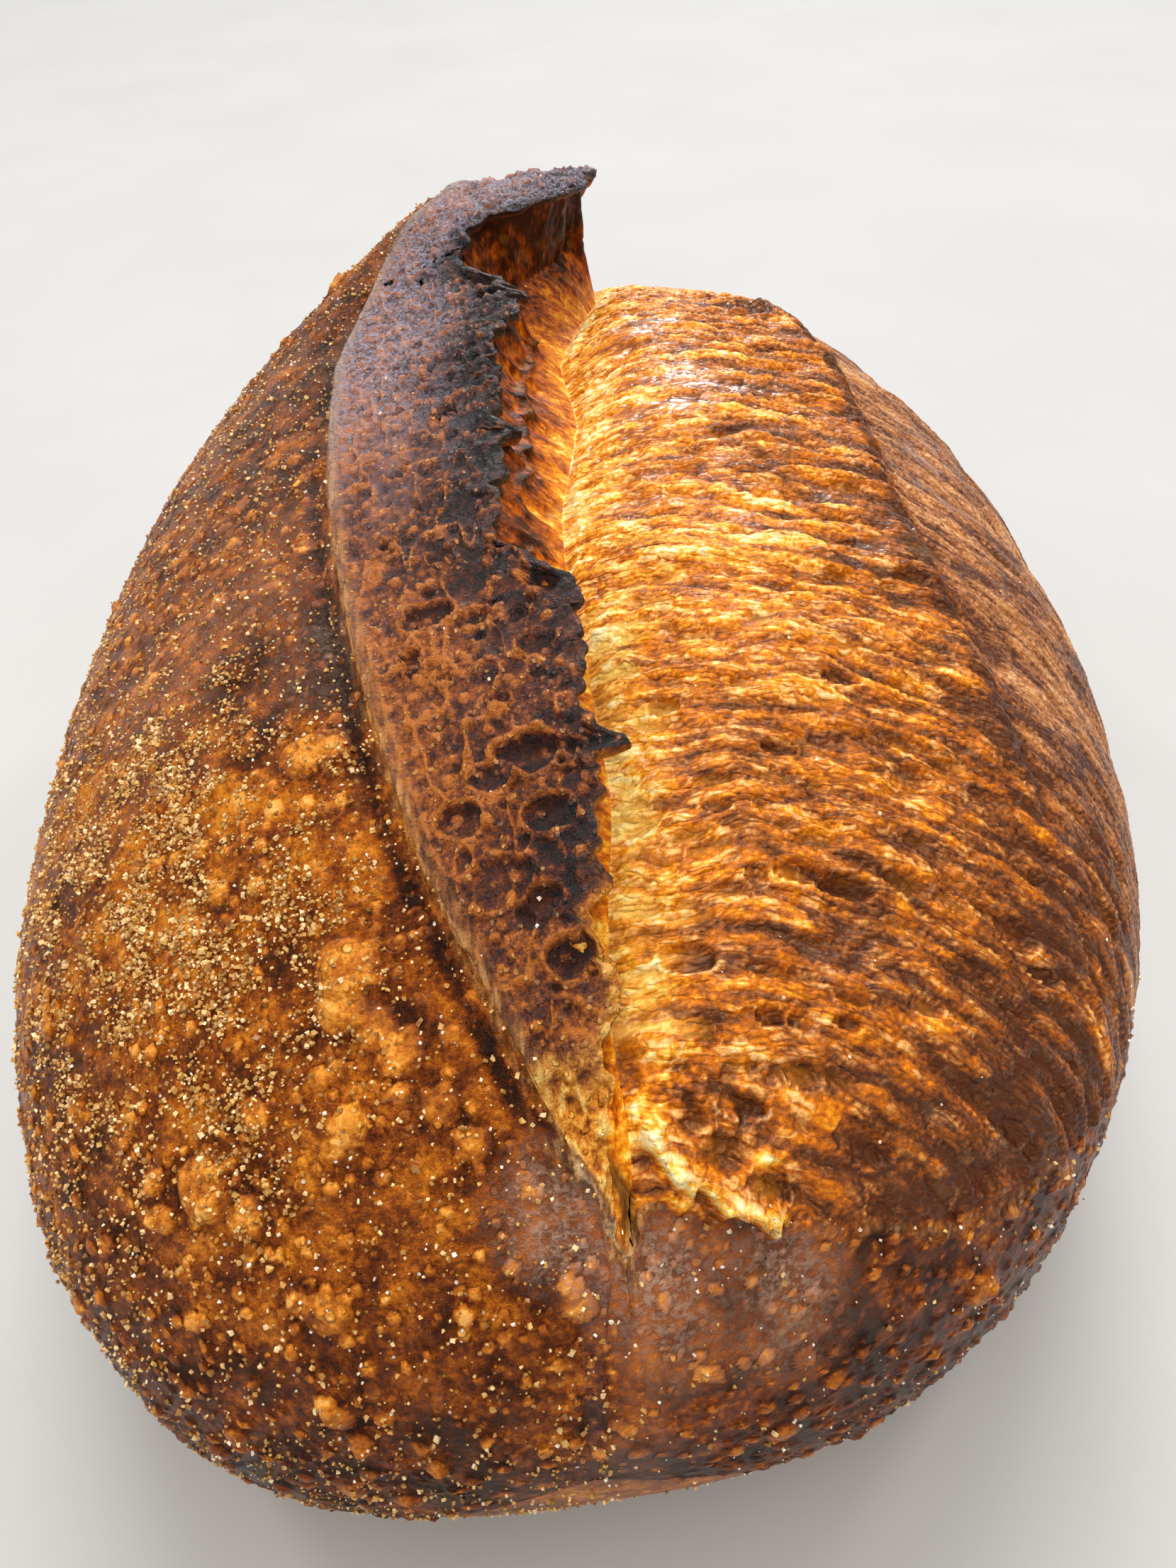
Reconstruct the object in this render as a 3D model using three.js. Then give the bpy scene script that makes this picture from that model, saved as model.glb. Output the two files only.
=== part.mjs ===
// A free-form sourdough loaf, an oval batard that stands on its flat underside.
//
// The loaf is one closed solid. It is lofted from cross-sections that follow one another along Y,
// from the near end at -Y to the far end at +Y. Each section is a ring of points that starts
// under the loaf, climbs the left skin to the ridge where the blade went in, crosses the cut face
// of the ear to its torn edge, turns back under that edge, drops into the valley of the cut,
// and then runs over the risen belly and down the right skin. Millimetres, +Z up.

import * as THREE from 'three';

// ---------------------------------------------------------------- driving dimensions

const LOAF = {
  length: 250,
  halfWidthLeft: 84.5,
  halfWidthRight: 86.6,
  height: 101,           // crown of the dough, without the ear
  girthHeight: 40.4,     // where the loaf is widest
};

// How full the loaf is: larger numbers are squarer.
const FULLNESS = {
  sectionTop: 2.22,
  sectionBottom: 2.6,
  planBottom: 2.2,
  planNearLeft: 2.59,
  planNearRight: 2.53,
  planFarLeft: 2.31,
  planFarRight: 2.35,
  crown: 2.27,
};

// Where along the loaf, as a share of the half length, each outline is at its widest or highest.
const WIDEST = { left: -0.03, right: -0.04, crown: 0.006 };

const LEAN = 0.05;             // the long axis drifts to the right going away
const BEND = -0.0003;          // and bends a little, per millimetre
const BASE_SPREAD = 1.32;      // how far out the flat underside reaches
const RIM_ROUNDING = 1.5;      // how softly the underside turns up into the sides

const CUT_NEAR = -113;         // the cut lives between these two places along Y
const CUT_FAR = 113;

// The ridge, where the skin was cut: place across the loaf, and how far it stands up.
const RIDGE_ACROSS = [[-113, -10], [-108, -9], [-100, -12.5], [-90, -16.8], [-75, -22.5],
  [-50, -28], [-20, -32], [5, -33.3], [25, -33.2], [45, -28.5], [58, -23], [65, -19],
  [72, -13.5], [80, -8], [90, -3], [105, 1], [113, 2.5]];
const RIDGE_LIFT = [[-113, 0], [-100, 0.9], [-50, 1.4], [0, 1.8], [20, 2.6], [35, 4.4],
  [45, 6.8], [58, 12.6], [65, 16.5], [72, 19.6], [79, 21.2], [87, 17.2], [96, 9], [106, 2.5],
  [113, 0]];

// The torn edge of the ear: across, lift above the dough, and how far it hangs towards -Y.
const EDGE_ACROSS = [[-113, -6.6], [-108, -5.6], [-100, -4.6], [-88, -4.1], [-75, -2.7],
  [-60, -2.2], [-48, -1.6], [-42, -3.6], [-36, -9.6], [-22, -8.6], [0, -7], [20, -5],
  [34, -2], [42, -5.5], [50, -9.6], [56, -8.4], [60.5, -3.5], [63.5, 4], [66, 10.5],
  [70, 13.4], [79, 15], [87, 13], [96, 9.5], [106, 7], [113, 6.5]];
const EDGE_LIFT = [[-113, 0], [-107, 1], [-98, 2.6], [-85, 3.8], [-60, 4.8], [-30, 5.4],
  [0, 6], [20, 6.8], [36, 7.6], [46, 9.8], [54, 13.2], [60, 16.4], [66, 19.6], [72, 21.8],
  [79, 22.6], [86, 17.5], [94, 8.5], [104, 2], [113, 0]];
const EDGE_HANG = [[-113, 0], [54, 0], [62, 2.4], [68, 4.4], [75, 3], [82, 0], [113, 0]];

// The edge is a thin lip. Its underside goes back in before the wall drops into the valley.
const LIP_THICKNESS = [[-113, 0.3], [-104, 1.1], [-80, 1.9], [80, 2.2], [96, 1.4], [113, 0.3]];
const UNDERCUT = [[-113, 0], [-104, 0.6], [-90, 2.4], [-60, 4.2], [-42, 3.6], [-30, 1.6],
  [50, 1.6], [62, 3], [74, 3], [86, 1.5], [100, 0.5], [113, 0]];
const WALL_SET_BACK = [[-113, 0], [-95, 0.6], [-60, 1.4], [-40, 0.4], [0, 1.2], [45, 1.6],
  [62, 4.5], [74, 2.4], [90, 0.4], [113, 0]];

// The valley between ear and belly: place across, and depth under the full dough line.
const VALLEY_ACROSS = [[-113, -4.4], [-106, -3.6], [-95, -3.8], [-84, -2.6], [-67, -0.2],
  [-50, -0.4], [-30, -0.8], [-16, 0], [0, 3], [16, 5.4], [35, 5], [56, 9.4], [70, 13.4],
  [79, 16.2], [88, 17], [98, 14], [113, 10.5]];
const VALLEY_DEPTH = [[-113, 0], [-108, 1], [-98, 2.6], [-80, 4], [-50, 5.6], [-20, 6.4],
  [10, 7.2], [40, 7.4], [62, 6.4], [76, 4.2], [88, 1.8], [98, 0.6], [108, 0]];

// The torn edge is ragged, and one long splinter reaches out over the valley.
const RAGGED = { reach: 1.7, drop: 0.35, pitch: 5.2 };
const SPLINTER = { along: -67.5, reach: 4.4, width: 1.9 };

// A second, smaller tear runs down the right of the belly and stands up as a short lip.
const SIDE_TEAR = {
  across: [[-75, 51], [-54, 49.5], [-20, 46.5], [5, 48.5], [51, 50], [70, 47]],
  height: [[-78, 0], [-60, 1.3], [-20, 2.2], [20, 2.2], [55, 1.8], [72, 0]],
  inner: 7,
  outer: 2.2,
};

// Soft swellings of the skin, and the strands that the rising dough pulled across the belly.
const SWELL = { height: 0.7, size: 19 };
const STRANDS = { height: 0.75, pitch: 9.5, run: 34 };
const FACE_PITS = { depth: 0.9, size: 8 };
const FACE_BOW = 0.05;         // how far the cut face arches, as a share of its width
const SKIN_FALL_OFF = 27;      // how far left of the ridge the raised skin still climbs

// How finely the solid is faceted.
const ROWS = [
  { from: -110, to: 57, step: 3.9 },
  { from: 57, to: 71, step: 2 },
  { from: 71, to: 106, step: 3.5 },
];
const NEAR_CAP_ROWS = 7;
const FAR_CAP_ROWS = 8;
const COLUMNS = { leftSkin: 20, face: 8, wall: 4, belly: 27, rightSkin: 6 };
const BASE_TURNS = [0, 0.062, 0.11];       // shares of a full turn, from the middle of the base
const RIM_TURN = 0.133;                    // where the base turns up into the side
const BELLY_END_TURN = 0.735;              // the side of the loaf, a little above the girth

// ---------------------------------------------------------------- small mathematics

const TURN = 2 * Math.PI;
const clamp = THREE.MathUtils.clamp;
const lerp = THREE.MathUtils.lerp;
const ease = THREE.MathUtils.smoothstep;

/** A smooth curve without overshoot through a few [along, value] stations. */
function track(stations) {
  const slopes = stations.map((here, i) => {
    const before = stations[i - 1];
    const after = stations[i + 1];
    if (!before || !after) return 0;
    const left = (here[1] - before[1]) / (here[0] - before[0]);
    const right = (after[1] - here[1]) / (after[0] - here[0]);
    return left * right <= 0 ? 0 : (2 * left * right) / (left + right);
  });
  return (along) => {
    const last = stations.length - 1;
    if (along <= stations[0][0]) return stations[0][1];
    if (along >= stations[last][0]) return stations[last][1];
    const i = stations.findIndex((station) => station[0] > along) - 1;
    const width = stations[i + 1][0] - stations[i][0];
    const s = (along - stations[i][0]) / width;
    const rise = stations[i + 1][1] - stations[i][1];
    const start = slopes[i] * width - rise;
    const end = rise - slopes[i + 1] * width;
    return stations[i][1] + rise * s + s * (1 - s) * (start * (1 - s) + end * s);
  };
}

/** A repeatable random number from 0 to 1 for one corner of a lattice, by mixing its bits. */
function dice(i, j, k) {
  let mixed = Math.imul(i, 374761393) + Math.imul(j, 668265263) + Math.imul(k, 2246822519);
  mixed = Math.imul((mixed | 0) ^ ((mixed | 0) >>> 13), 1274126177);
  mixed ^= mixed >>> 16;
  return (mixed >>> 0) / 2 ** 32;
}

/** Smooth noise from -1 to 1, with features one unit apart. */
function noise(x, y, z) {
  const cell = [x, y, z].map(Math.floor);
  const [a, b, c] = [x, y, z].map((value, axis) => ease(value - cell[axis], 0, 1));
  let sum = 0;
  for (const i of [0, 1]) {
    for (const j of [0, 1]) {
      for (const k of [0, 1]) {
        const weight = (i ? a : 1 - a) * (j ? b : 1 - b) * (k ? c : 1 - c);
        sum += weight * dice(cell[0] + i, cell[1] + j, cell[2] + k);
      }
    }
  }
  return 2 * sum - 1;
}

// ---------------------------------------------------------------- the dough without its cut

/** Height of a rounded outline at t, from 1 at its widest place to 0 at both ends. */
function outline(t, widest, nearPower, farPower) {
  const near = t < widest;
  const share = Math.abs(t - widest) / (near ? 1 + widest : 1 - widest);
  const power = near ? nearPower : farPower;
  return (1 - clamp(share, 0, 1) ** power) ** (1 / power);
}

/** The sizes of the cross-section at t, from -1 at the near end to 1 at the far end. */
function section(t) {
  const y = (t * LOAF.length) / 2;
  const { planNearLeft, planFarLeft, planNearRight, planFarRight, crown } = FULLNESS;
  return {
    y,
    middle: LEAN * y + BEND * y * y,
    left: LOAF.halfWidthLeft * outline(t, WIDEST.left, planNearLeft, planFarLeft),
    right: LOAF.halfWidthRight * outline(t, WIDEST.right, planNearRight, planFarRight),
    crown: outline(t, WIDEST.crown, crown, crown),
    bottom: outline(t, 0, FULLNESS.planBottom, FULLNESS.planBottom),
  };
}

/** A point of the uncut dough. turn goes round once: 0 below, 1/4 left, 1/2 on top, 3/4 right. */
function doughPoint(size, turn) {
  const side = -Math.sin(TURN * turn);
  const up = -Math.cos(TURN * turn);
  const power = up < 0 ? FULLNESS.sectionBottom : FULLNESS.sectionTop;
  const reach = (side < 0 ? size.left : size.right) * Math.abs(side) ** (2 / power);
  const climb = Math.abs(up) ** (2 / power);
  const above = (LOAF.height - LOAF.girthHeight) * size.crown * climb;
  const under = Math.min(1, BASE_SPREAD * climb * size.bottom);
  const below = LOAF.girthHeight * (1 - (1 - under) ** RIM_ROUNDING);
  const z = LOAF.girthHeight + (up < 0 ? -below : above);
  return new THREE.Vector3(size.middle + Math.sign(side) * reach, size.y, z);
}

/** The turn at which the top of the dough stands at a given place across the loaf. */
function turnAcross(size, across) {
  const offset = across - size.middle;
  const share = clamp(Math.abs(offset) / (offset < 0 ? size.left : size.right), 0, 0.98);
  return 0.5 + (Math.sign(offset) * Math.asin(share ** (FULLNESS.sectionTop / 2))) / TURN;
}

// ---------------------------------------------------------------- the cut

const ridgeAcross = track(RIDGE_ACROSS);
const ridgeLift = track(RIDGE_LIFT);
const edgeAcross = track(EDGE_ACROSS);
const edgeLift = track(EDGE_LIFT);
const edgeHang = track(EDGE_HANG);
const lipThickness = track(LIP_THICKNESS);
const undercut = track(UNDERCUT);
const wallSetBack = track(WALL_SET_BACK);
const valleyAcross = track(VALLEY_ACROSS);
const valleyDepth = track(VALLEY_DEPTH);
const sideTearAcross = track(SIDE_TEAR.across);
const sideTearHeight = track(SIDE_TEAR.height);

/** How far the torn edge is in or out of its smooth line. */
function raggedness(along) {
  const fade = ease(along, CUT_NEAR, -95) * (1 - ease(along, 78, 96));
  const torn = noise(along / RAGGED.pitch, 3.7, 0) + 0.7 * noise((2.3 * along) / RAGGED.pitch, 9.1, 4);
  const splinter = Math.exp(-(((along - SPLINTER.along) / SPLINTER.width) ** 2));
  return fade * (RAGGED.reach * torn + SPLINTER.reach * splinter);
}

/** The corner points of the cut at one section: ridge, edge, lip, wall and valley. */
function cutCorners(size) {
  const along = clamp(size.y, CUT_NEAR, CUT_FAR);
  const sizeThere = section((2 * along) / LOAF.length);
  const onDough = (across) => doughPoint(size, turnAcross(sizeThere, across));
  const ragged = raggedness(along);

  const ridge = onDough(ridgeAcross(along));
  ridge.z += ridgeLift(along);
  const edge = onDough(edgeAcross(along));
  edge.add(new THREE.Vector3(0, -edgeHang(along), edgeLift(along)));
  const tear = new THREE.Vector3(ragged, 0, -RAGGED.drop * ragged);
  const valley = onDough(valleyAcross(along));
  valley.z -= valleyDepth(along);

  const lip = edge.clone().addScaledVector(tear, 0.9);
  lip.x -= undercut(along);
  lip.y += 1.4 * edgeHang(along);
  lip.z -= lipThickness(along);
  const wall = lip.clone().lerp(valley, 0.5);
  wall.x -= wallSetBack(along);
  wall.y += 1.2 * edgeHang(along);
  wall.z -= wallSetBack(along) * 0.6;
  return { ridge, edge, tear, lip, wall, valley, valleyTurn: turnAcross(sizeThere, valleyAcross(along)),
    ridgeTurn: turnAcross(sizeThere, ridgeAcross(along)) };
}

// ---------------------------------------------------------------- the surface

/** Left skin, from the rim of the base to the ridge: it climbs smoothly to the raised ridge. */
function leftSkinPoint(size, corners, share) {
  const turn = lerp(RIM_TURN, corners.ridgeTurn, share);
  const point = doughPoint(size, turn);
  const flat = doughPoint(size, corners.ridgeTurn);
  const away = point.distanceTo(flat) / SKIN_FALL_OFF;
  point.z += (corners.ridge.z - flat.z) * Math.exp(-(away ** 1.5));
  point.addScaledVector(outward(size, turn), swelling(point) * ease(share, 0, 0.2) * (1 - share));
  return point;
}

/** The cut face, from the ridge to the torn edge, dished and pitted. */
function facePoint(corners, share) {
  const point = corners.ridge.clone().lerp(corners.edge, share);
  const width = corners.ridge.distanceTo(corners.edge);
  const bow = share * (1 - share);
  const pits = noise(point.x / FACE_PITS.size, point.y / FACE_PITS.size, 5.5);
  point.z += bow * (FACE_BOW * width + 4 * FACE_PITS.depth * Math.min(0, pits));
  return point.addScaledVector(corners.tear, share ** 4);
}

/** Under the lip and down the wall to the valley. */
function wallPoint(corners, share) {
  const { lip, wall, valley } = corners;
  return share < 0.5 ? lip.clone().lerp(wall, 2 * share) : wall.clone().lerp(valley, 2 * share - 1);
}

/** Belly, from the valley over the crown to the side of the loaf. */
function bellyPoint(size, corners, share) {
  const turn = lerp(corners.valleyTurn, BELLY_END_TURN, share ** 1.15);
  const point = doughPoint(size, turn);
  const flat = doughPoint(size, corners.valleyTurn);
  const fromValley = point.distanceTo(flat) / 9;
  point.z -= (flat.z - corners.valley.z) * Math.exp(-(fromValley ** 1.3));
  const open = ease(point.y, -112, -96) * (1 - ease(point.y, 84, 104));
  const strand = noise(point.x / STRANDS.run, (point.y + 0.12 * point.x) / STRANDS.pitch, 1.5);
  const fade = ease(share, 0, 0.12) * (1 - ease(share, 0.75, 1)) * open;
  point.addScaledVector(outward(size, turn), fade * STRANDS.height * (1 - 2 * Math.abs(strand)));
  point.z += sideTear(point) * open;
  return point;
}

/** The short lip of the second tear: it rises slowly from the belly and falls off steeply. */
function sideTear(point) {
  const from = point.x - sideTearAcross(point.y);
  const slope = from < 0 ? SIDE_TEAR.inner : SIDE_TEAR.outer;
  return sideTearHeight(point.y) * Math.exp(-((from / slope) ** 2));
}

/** Right skin, from the side of the loaf down to the rim of the base. */
function rightSkinPoint(size, share) {
  const turn = lerp(BELLY_END_TURN, 1 - RIM_TURN, share);
  const point = doughPoint(size, turn);
  return point.addScaledVector(outward(size, turn), swelling(point) * (1 - share) * share * 3);
}

/** The direction that points out of the dough, near enough for small relief. */
function outward(size, turn) {
  const up = -Math.cos(TURN * turn);
  const end = (2 * size.y) / LOAF.length;
  return new THREE.Vector3(-Math.sin(TURN * turn), 0.8 * end * Math.abs(end), up).normalize();
}

/** Soft unevenness of a hand-shaped loaf. */
function swelling(point) {
  const { size, height } = SWELL;
  return height * noise(point.x / size, point.y / size, point.z / size);
}

/** One closed ring of points round the loaf. */
function ring(t) {
  const size = section(t);
  const corners = cutCorners(size);
  const points = BASE_TURNS.map((turn) => doughPoint(size, turn));
  for (let i = 0; i < COLUMNS.leftSkin; i += 1) {
    points.push(leftSkinPoint(size, corners, i / COLUMNS.leftSkin));
  }
  for (let i = 0; i <= COLUMNS.face; i += 1) {
    points.push(facePoint(corners, i / COLUMNS.face));
  }
  for (let i = 0; i < COLUMNS.wall; i += 1) {
    points.push(wallPoint(corners, i / COLUMNS.wall));
  }
  for (let i = 0; i < COLUMNS.belly; i += 1) {
    points.push(bellyPoint(size, corners, i / COLUMNS.belly));
  }
  for (let i = 0; i <= COLUMNS.rightSkin; i += 1) {
    points.push(rightSkinPoint(size, i / COLUMNS.rightSkin));
  }
  BASE_TURNS.slice(1).reverse().forEach((turn) => points.push(doughPoint(size, 1 - turn)));
  return points;
}

/** The places of the rings along the loaf, as t from -1 to 1, without the two end points. */
function ringPlaces() {
  const half = LOAF.length / 2;
  const bands = ROWS.flatMap(({ from, to, step }) => {
    const count = Math.round((to - from) / step);
    return Array.from({ length: count }, (_, i) => lerp(from, to, i / count) / half);
  });
  const far = ROWS[ROWS.length - 1].to / half;
  const cap = (edge, count) => Array.from({ length: count - 1 }, (_, i) =>
    Math.sin(lerp(Math.asin(edge), (Math.sign(edge) * TURN) / 4, (i + 1) / count)));
  const near = cap(bands[0], NEAR_CAP_ROWS).reverse();
  return [...near, ...bands, far, ...cap(far, FAR_CAP_ROWS)];
}

/** Joins the rings and the two end points into one closed surface with its faces outward. */
function loft(rings, nearEnd, farEnd) {
  const count = rings[0].length;
  const corners = [...rings.flat(), nearEnd, farEnd];
  const nearIndex = corners.length - 2;
  const farIndex = corners.length - 1;
  const faces = [];
  for (let i = 0; i < count; i += 1) {
    const next = (i + 1) % count;
    faces.push(nearIndex, next, i);
    for (let row = 0; row + 1 < rings.length; row += 1) {
      const here = row * count;
      const beyond = here + count;
      faces.push(here + i, beyond + next, beyond + i, here + i, here + next, beyond + next);
    }
    const last = (rings.length - 1) * count;
    faces.push(last + i, last + next, farIndex);
  }
  const geometry = new THREE.BufferGeometry().setFromPoints(corners);
  geometry.setIndex(faces);
  return geometry;
}

// ---------------------------------------------------------------- the loaf

const places = ringPlaces();
const endPoint = (t) => new THREE.Vector3(section(t).middle, section(t).y, LOAF.girthHeight);
const geometry = loft(places.map(ring), endPoint(-1), endPoint(1));

// The part's origin is under the middle of the loaf's box, on the surface that it stands on.
geometry.computeBoundingBox();
const middle = geometry.boundingBox.getCenter(new THREE.Vector3());
geometry.translate(-middle.x, -middle.y, -geometry.boundingBox.min.z);
geometry.computeVertexNormals();

const crust = new THREE.MeshStandardMaterial({ color: 0x8a4a1e, roughness: 0.7, metalness: 0 });
const loaf = new THREE.Mesh(geometry, crust);
loaf.name = 'loaf';

const part = new THREE.Group();
part.add(loaf);

export default part;
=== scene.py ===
# A sourdough loaf, dressed over its plain solid.
#
# The loaf is made as the baker made it. First comes the shaped dough with its cut, then what the
# oven did to the surface: blisters on the skin, char on the ear, torn strands on the belly. The
# crust is then cut into pieces along its own lines, each with its material. Loose semolina and
# flour come on top, and the table, camera and light last. Places and sizes are millimetres,
# except those of the table and the lights. In a sum of patterns, the number before each is its
# height in the relief or its share of a mark.

import math
from types import SimpleNamespace

import bpy
import numpy as np
from mathutils import Matrix, Vector


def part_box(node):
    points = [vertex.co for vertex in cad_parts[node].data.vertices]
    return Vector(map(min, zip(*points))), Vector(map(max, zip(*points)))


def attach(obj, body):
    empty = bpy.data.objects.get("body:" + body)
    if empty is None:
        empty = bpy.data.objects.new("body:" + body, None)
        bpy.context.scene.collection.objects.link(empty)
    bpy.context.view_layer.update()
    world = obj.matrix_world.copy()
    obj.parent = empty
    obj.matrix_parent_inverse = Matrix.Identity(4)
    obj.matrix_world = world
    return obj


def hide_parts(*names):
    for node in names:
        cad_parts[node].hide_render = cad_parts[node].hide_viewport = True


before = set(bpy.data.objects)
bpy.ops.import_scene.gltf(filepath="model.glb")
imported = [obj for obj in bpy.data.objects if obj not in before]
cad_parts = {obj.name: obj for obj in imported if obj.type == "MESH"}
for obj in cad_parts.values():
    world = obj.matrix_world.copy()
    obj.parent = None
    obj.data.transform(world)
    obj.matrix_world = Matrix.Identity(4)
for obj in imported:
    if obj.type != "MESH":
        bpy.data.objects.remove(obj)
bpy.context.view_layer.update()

# ------------------------------------------------------------------ the shaped dough
# About a kilogram of wheat dough, rolled into an oval, proved, and opened by one long cut. This
# is its closed surface: rows follow one another away along Y, columns go round the loaf from
# the rim on the left over the top.

MM = 0.001
LENGTH = 250.0
HALF_WIDTH_LEFT = 84.5
HALF_WIDTH_RIGHT = 86.6
HEIGHT = 101.0
GIRTH_HEIGHT = 40.4
LEAN = 0.05                    # the long axis drifts to the right going away
BEND = -0.0003
BASE_SPREAD = 1.32             # how far out the flat underside reaches
RIM_ROUNDING = 1.5
SECTION_TOP = 2.22             # fullness of the outlines, larger is squarer
SECTION_BOTTOM = 2.6
PLAN_BOTTOM = 2.2
PLAN_LEFT = (-0.03, 2.59, 2.31)        # widest place, fullness at the near and the far end
PLAN_RIGHT = (-0.04, 2.53, 2.35)
CROWN = (0.006, 2.27, 2.27)
CUT_END = 113.0                # the cut lives between minus and plus this place along Y

RIDGE_ACROSS = ((-113, -10), (-108, -9), (-100, -12.5), (-90, -16.8), (-75, -22.5), (-50, -28),
                (-20, -32), (5, -33.3), (25, -33.2), (45, -28.5), (58, -23), (65, -19),
                (72, -13.5), (80, -8), (90, -3), (105, 1), (113, 2.5))
RIDGE_LIFT = ((-113, 0), (-100, 0.9), (-50, 1.4), (0, 1.8), (20, 2.6), (35, 4.4), (45, 6.8),
              (58, 12.6), (65, 16.5), (72, 19.6), (79, 21.2), (87, 17.2), (96, 9), (106, 2.5),
              (113, 0))
EDGE_ACROSS = ((-113, -6.6), (-108, -5.6), (-100, -4.6), (-88, -4.1), (-75, -2.7), (-60, -2.2),
               (-48, -1.6), (-42, -3.6), (-36, -9.6), (-22, -8.6), (0, -7), (20, -5), (34, -2),
               (42, -5.5), (50, -9.6), (56, -8.4), (60.5, -3.5), (63.5, 4), (66, 10.5),
               (70, 13.4), (79, 15), (87, 13), (96, 9.5), (106, 7), (113, 6.5))
EDGE_LIFT = ((-113, 0), (-107, 0.2), (-101, 0.8), (-95, 2.4), (-85, 3.8), (-60, 4.8), (-30, 5.4),
             (0, 6), (20, 6.8), (36, 7.6), (46, 9.8), (54, 13.2), (60, 16.4), (66, 19.6),
             (72, 21.8), (79, 22.6), (86, 17.5), (94, 8.5), (104, 2), (113, 0))
EDGE_HANG = ((-113, 0), (54, 0), (62, 2.4), (68, 4.4), (75, 3), (82, 0), (113, 0))
LIP_THICKNESS = ((-113, 0.15), (-103, 0.4), (-94, 1.3), (-80, 1.9), (80, 2.2), (96, 1.4),
                 (113, 0.3))
UNDERCUT = ((-113, 0), (-102, 0.2), (-94, 1.5), (-88, 2.4), (-60, 4.2), (-42, 3.6), (-30, 1.6),
            (50, 1.6), (62, 3), (74, 3), (86, 1.5), (100, 0.5), (113, 0))
WALL_SET_BACK = ((-113, 0), (-95, 0.6), (-60, 1.4), (-40, 0.4), (0, 1.2), (45, 1.6), (62, 4.5),
                 (74, 2.4), (90, 0.4), (113, 0))
VALLEY_ACROSS = ((-113, -4.4), (-106, -3.6), (-95, -3.8), (-84, -2.6), (-67, -0.2),
                 (-50, -0.4), (-30, -0.8), (-16, 0), (0, 3), (16, 5.4), (35, 5), (56, 9.4),
                 (70, 13.4), (79, 16.2), (88, 17), (98, 14), (113, 10.5))
VALLEY_DEPTH = ((-113, 0), (-104, 0.3), (-98, 1.2), (-92, 2.8), (-80, 4), (-50, 5.6), (-20, 6.4),
                (10, 7.2), (40, 7.4), (62, 6.4), (76, 4.2), (88, 1.8), (98, 0.6), (108, 0))
VALLEY_WIDTH = 9
RAGGED_REACH = 1.7             # of the torn edge's bites, and how far each hangs down
RAGGED_DROP = 0.35
RAGGED_PITCH = 5.2
FRAY_PITCHES = (1.9, 0.9, 6)   # of its teeth, its threads, and of where they come in groups
HOOK_REACH = 1.1
HOOK_PITCH = 2.3
SPLINTERS = (                  # along, reach, width: the long one, and the small ones by it
    (-67.5, 3.6, 2.1), (-67.8, 3.2, 0.8), (-43.6, 1.7, 0.8), (-50.0, 0.8, 2.2),
    (-55.4, 0.9, 0.7), (-71.6, 1.1, 0.6), (-59.0, 0.7, 0.5), (-80.5, 0.8, 0.6),
    (-88.0, 0.9, 0.7), (35.8, 1.8, 1.0), (40.5, 2.2, 0.9), (-9.6, 1.7, 1.2), (8.0, 1.1, 0.8),
    (-21.0, 1.0, 0.8), (22.5, 1.3, 0.9),
)
SIDE_TEAR_ACROSS = ((-75, 51), (-54, 49.5), (-20, 46.5), (5, 48.5), (51, 50), (70, 47))
SIDE_TEAR_HEIGHT = ((-78, 0), (-60, 1.3), (-20, 2.2), (20, 2.2), (55, 1.8), (72, 0))
SIDE_TEAR_RISE = 7             # how wide it is on its gentle side and on its steep one
SIDE_TEAR_FALL = 2.2
SWELL_HEIGHT = 0.7
SWELL_SIZE = 19.0
STRAND_HEIGHT = 0.75
STRAND_PITCH = 9.5
STRAND_RUN = 34.0
FACE_BOW = 0.05
SKIN_FALL_OFF = 27.0
RIM_TURN = 0.133               # where the underside turns up, as a share of a full turn
BELLY_END_TURN = 0.735
HOOD_SPAN = (50, 58, 72, 80)   # rows lie closer from the second to the third of these places
HOOD_EXTRA_ROWS = 0.6

ROWS = 700
SKIN_COLUMNS = 256
FACE_COLUMNS = 112
LIP_COLUMNS = 10
WALL_COLUMNS = 60
BELLY_COLUMNS = 300
FLANK_COLUMNS = 84
BASE_COLUMNS = 76


def track(stations):
    """A curve through [along, value] stations: cubic pieces whose slope at each station is the
    harmonic mean of the slopes beside it, or zero at a peak, so that it never overshoots."""
    x, v = np.array(stations, float).T
    slope = np.diff(v) / np.diff(x)
    m = np.zeros_like(v)
    same = slope[:-1] * slope[1:] > 0
    both = slope[:-1] + slope[1:]
    m[1:-1] = np.where(same, 2 * slope[:-1] * slope[1:] / np.where(same, both, 1), 0)

    def at(along):
        a = np.clip(along, x[0], x[-1])
        i = np.clip(np.searchsorted(x, a, side="right") - 1, 0, len(x) - 2)
        width, rise = x[i + 1] - x[i], v[i + 1] - v[i]
        s = (a - x[i]) / width
        start, end = m[i] * width - rise, rise - m[i + 1] * width
        return v[i] + rise * s + s * (1 - s) * (start * (1 - s) + end * s)

    return at


def ease(value, low, high):
    """0 at low, 1 at high, and 3 s^2 - 2 s^3 between them."""
    s = np.clip((value - low) / (high - low), 0, 1)
    return s * s * (3 - 2 * s)


def bell(value, width):
    """exp(-(value / width)^2), a soft bump of that half width."""
    return np.exp(-(value / width) ** 2)


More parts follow.
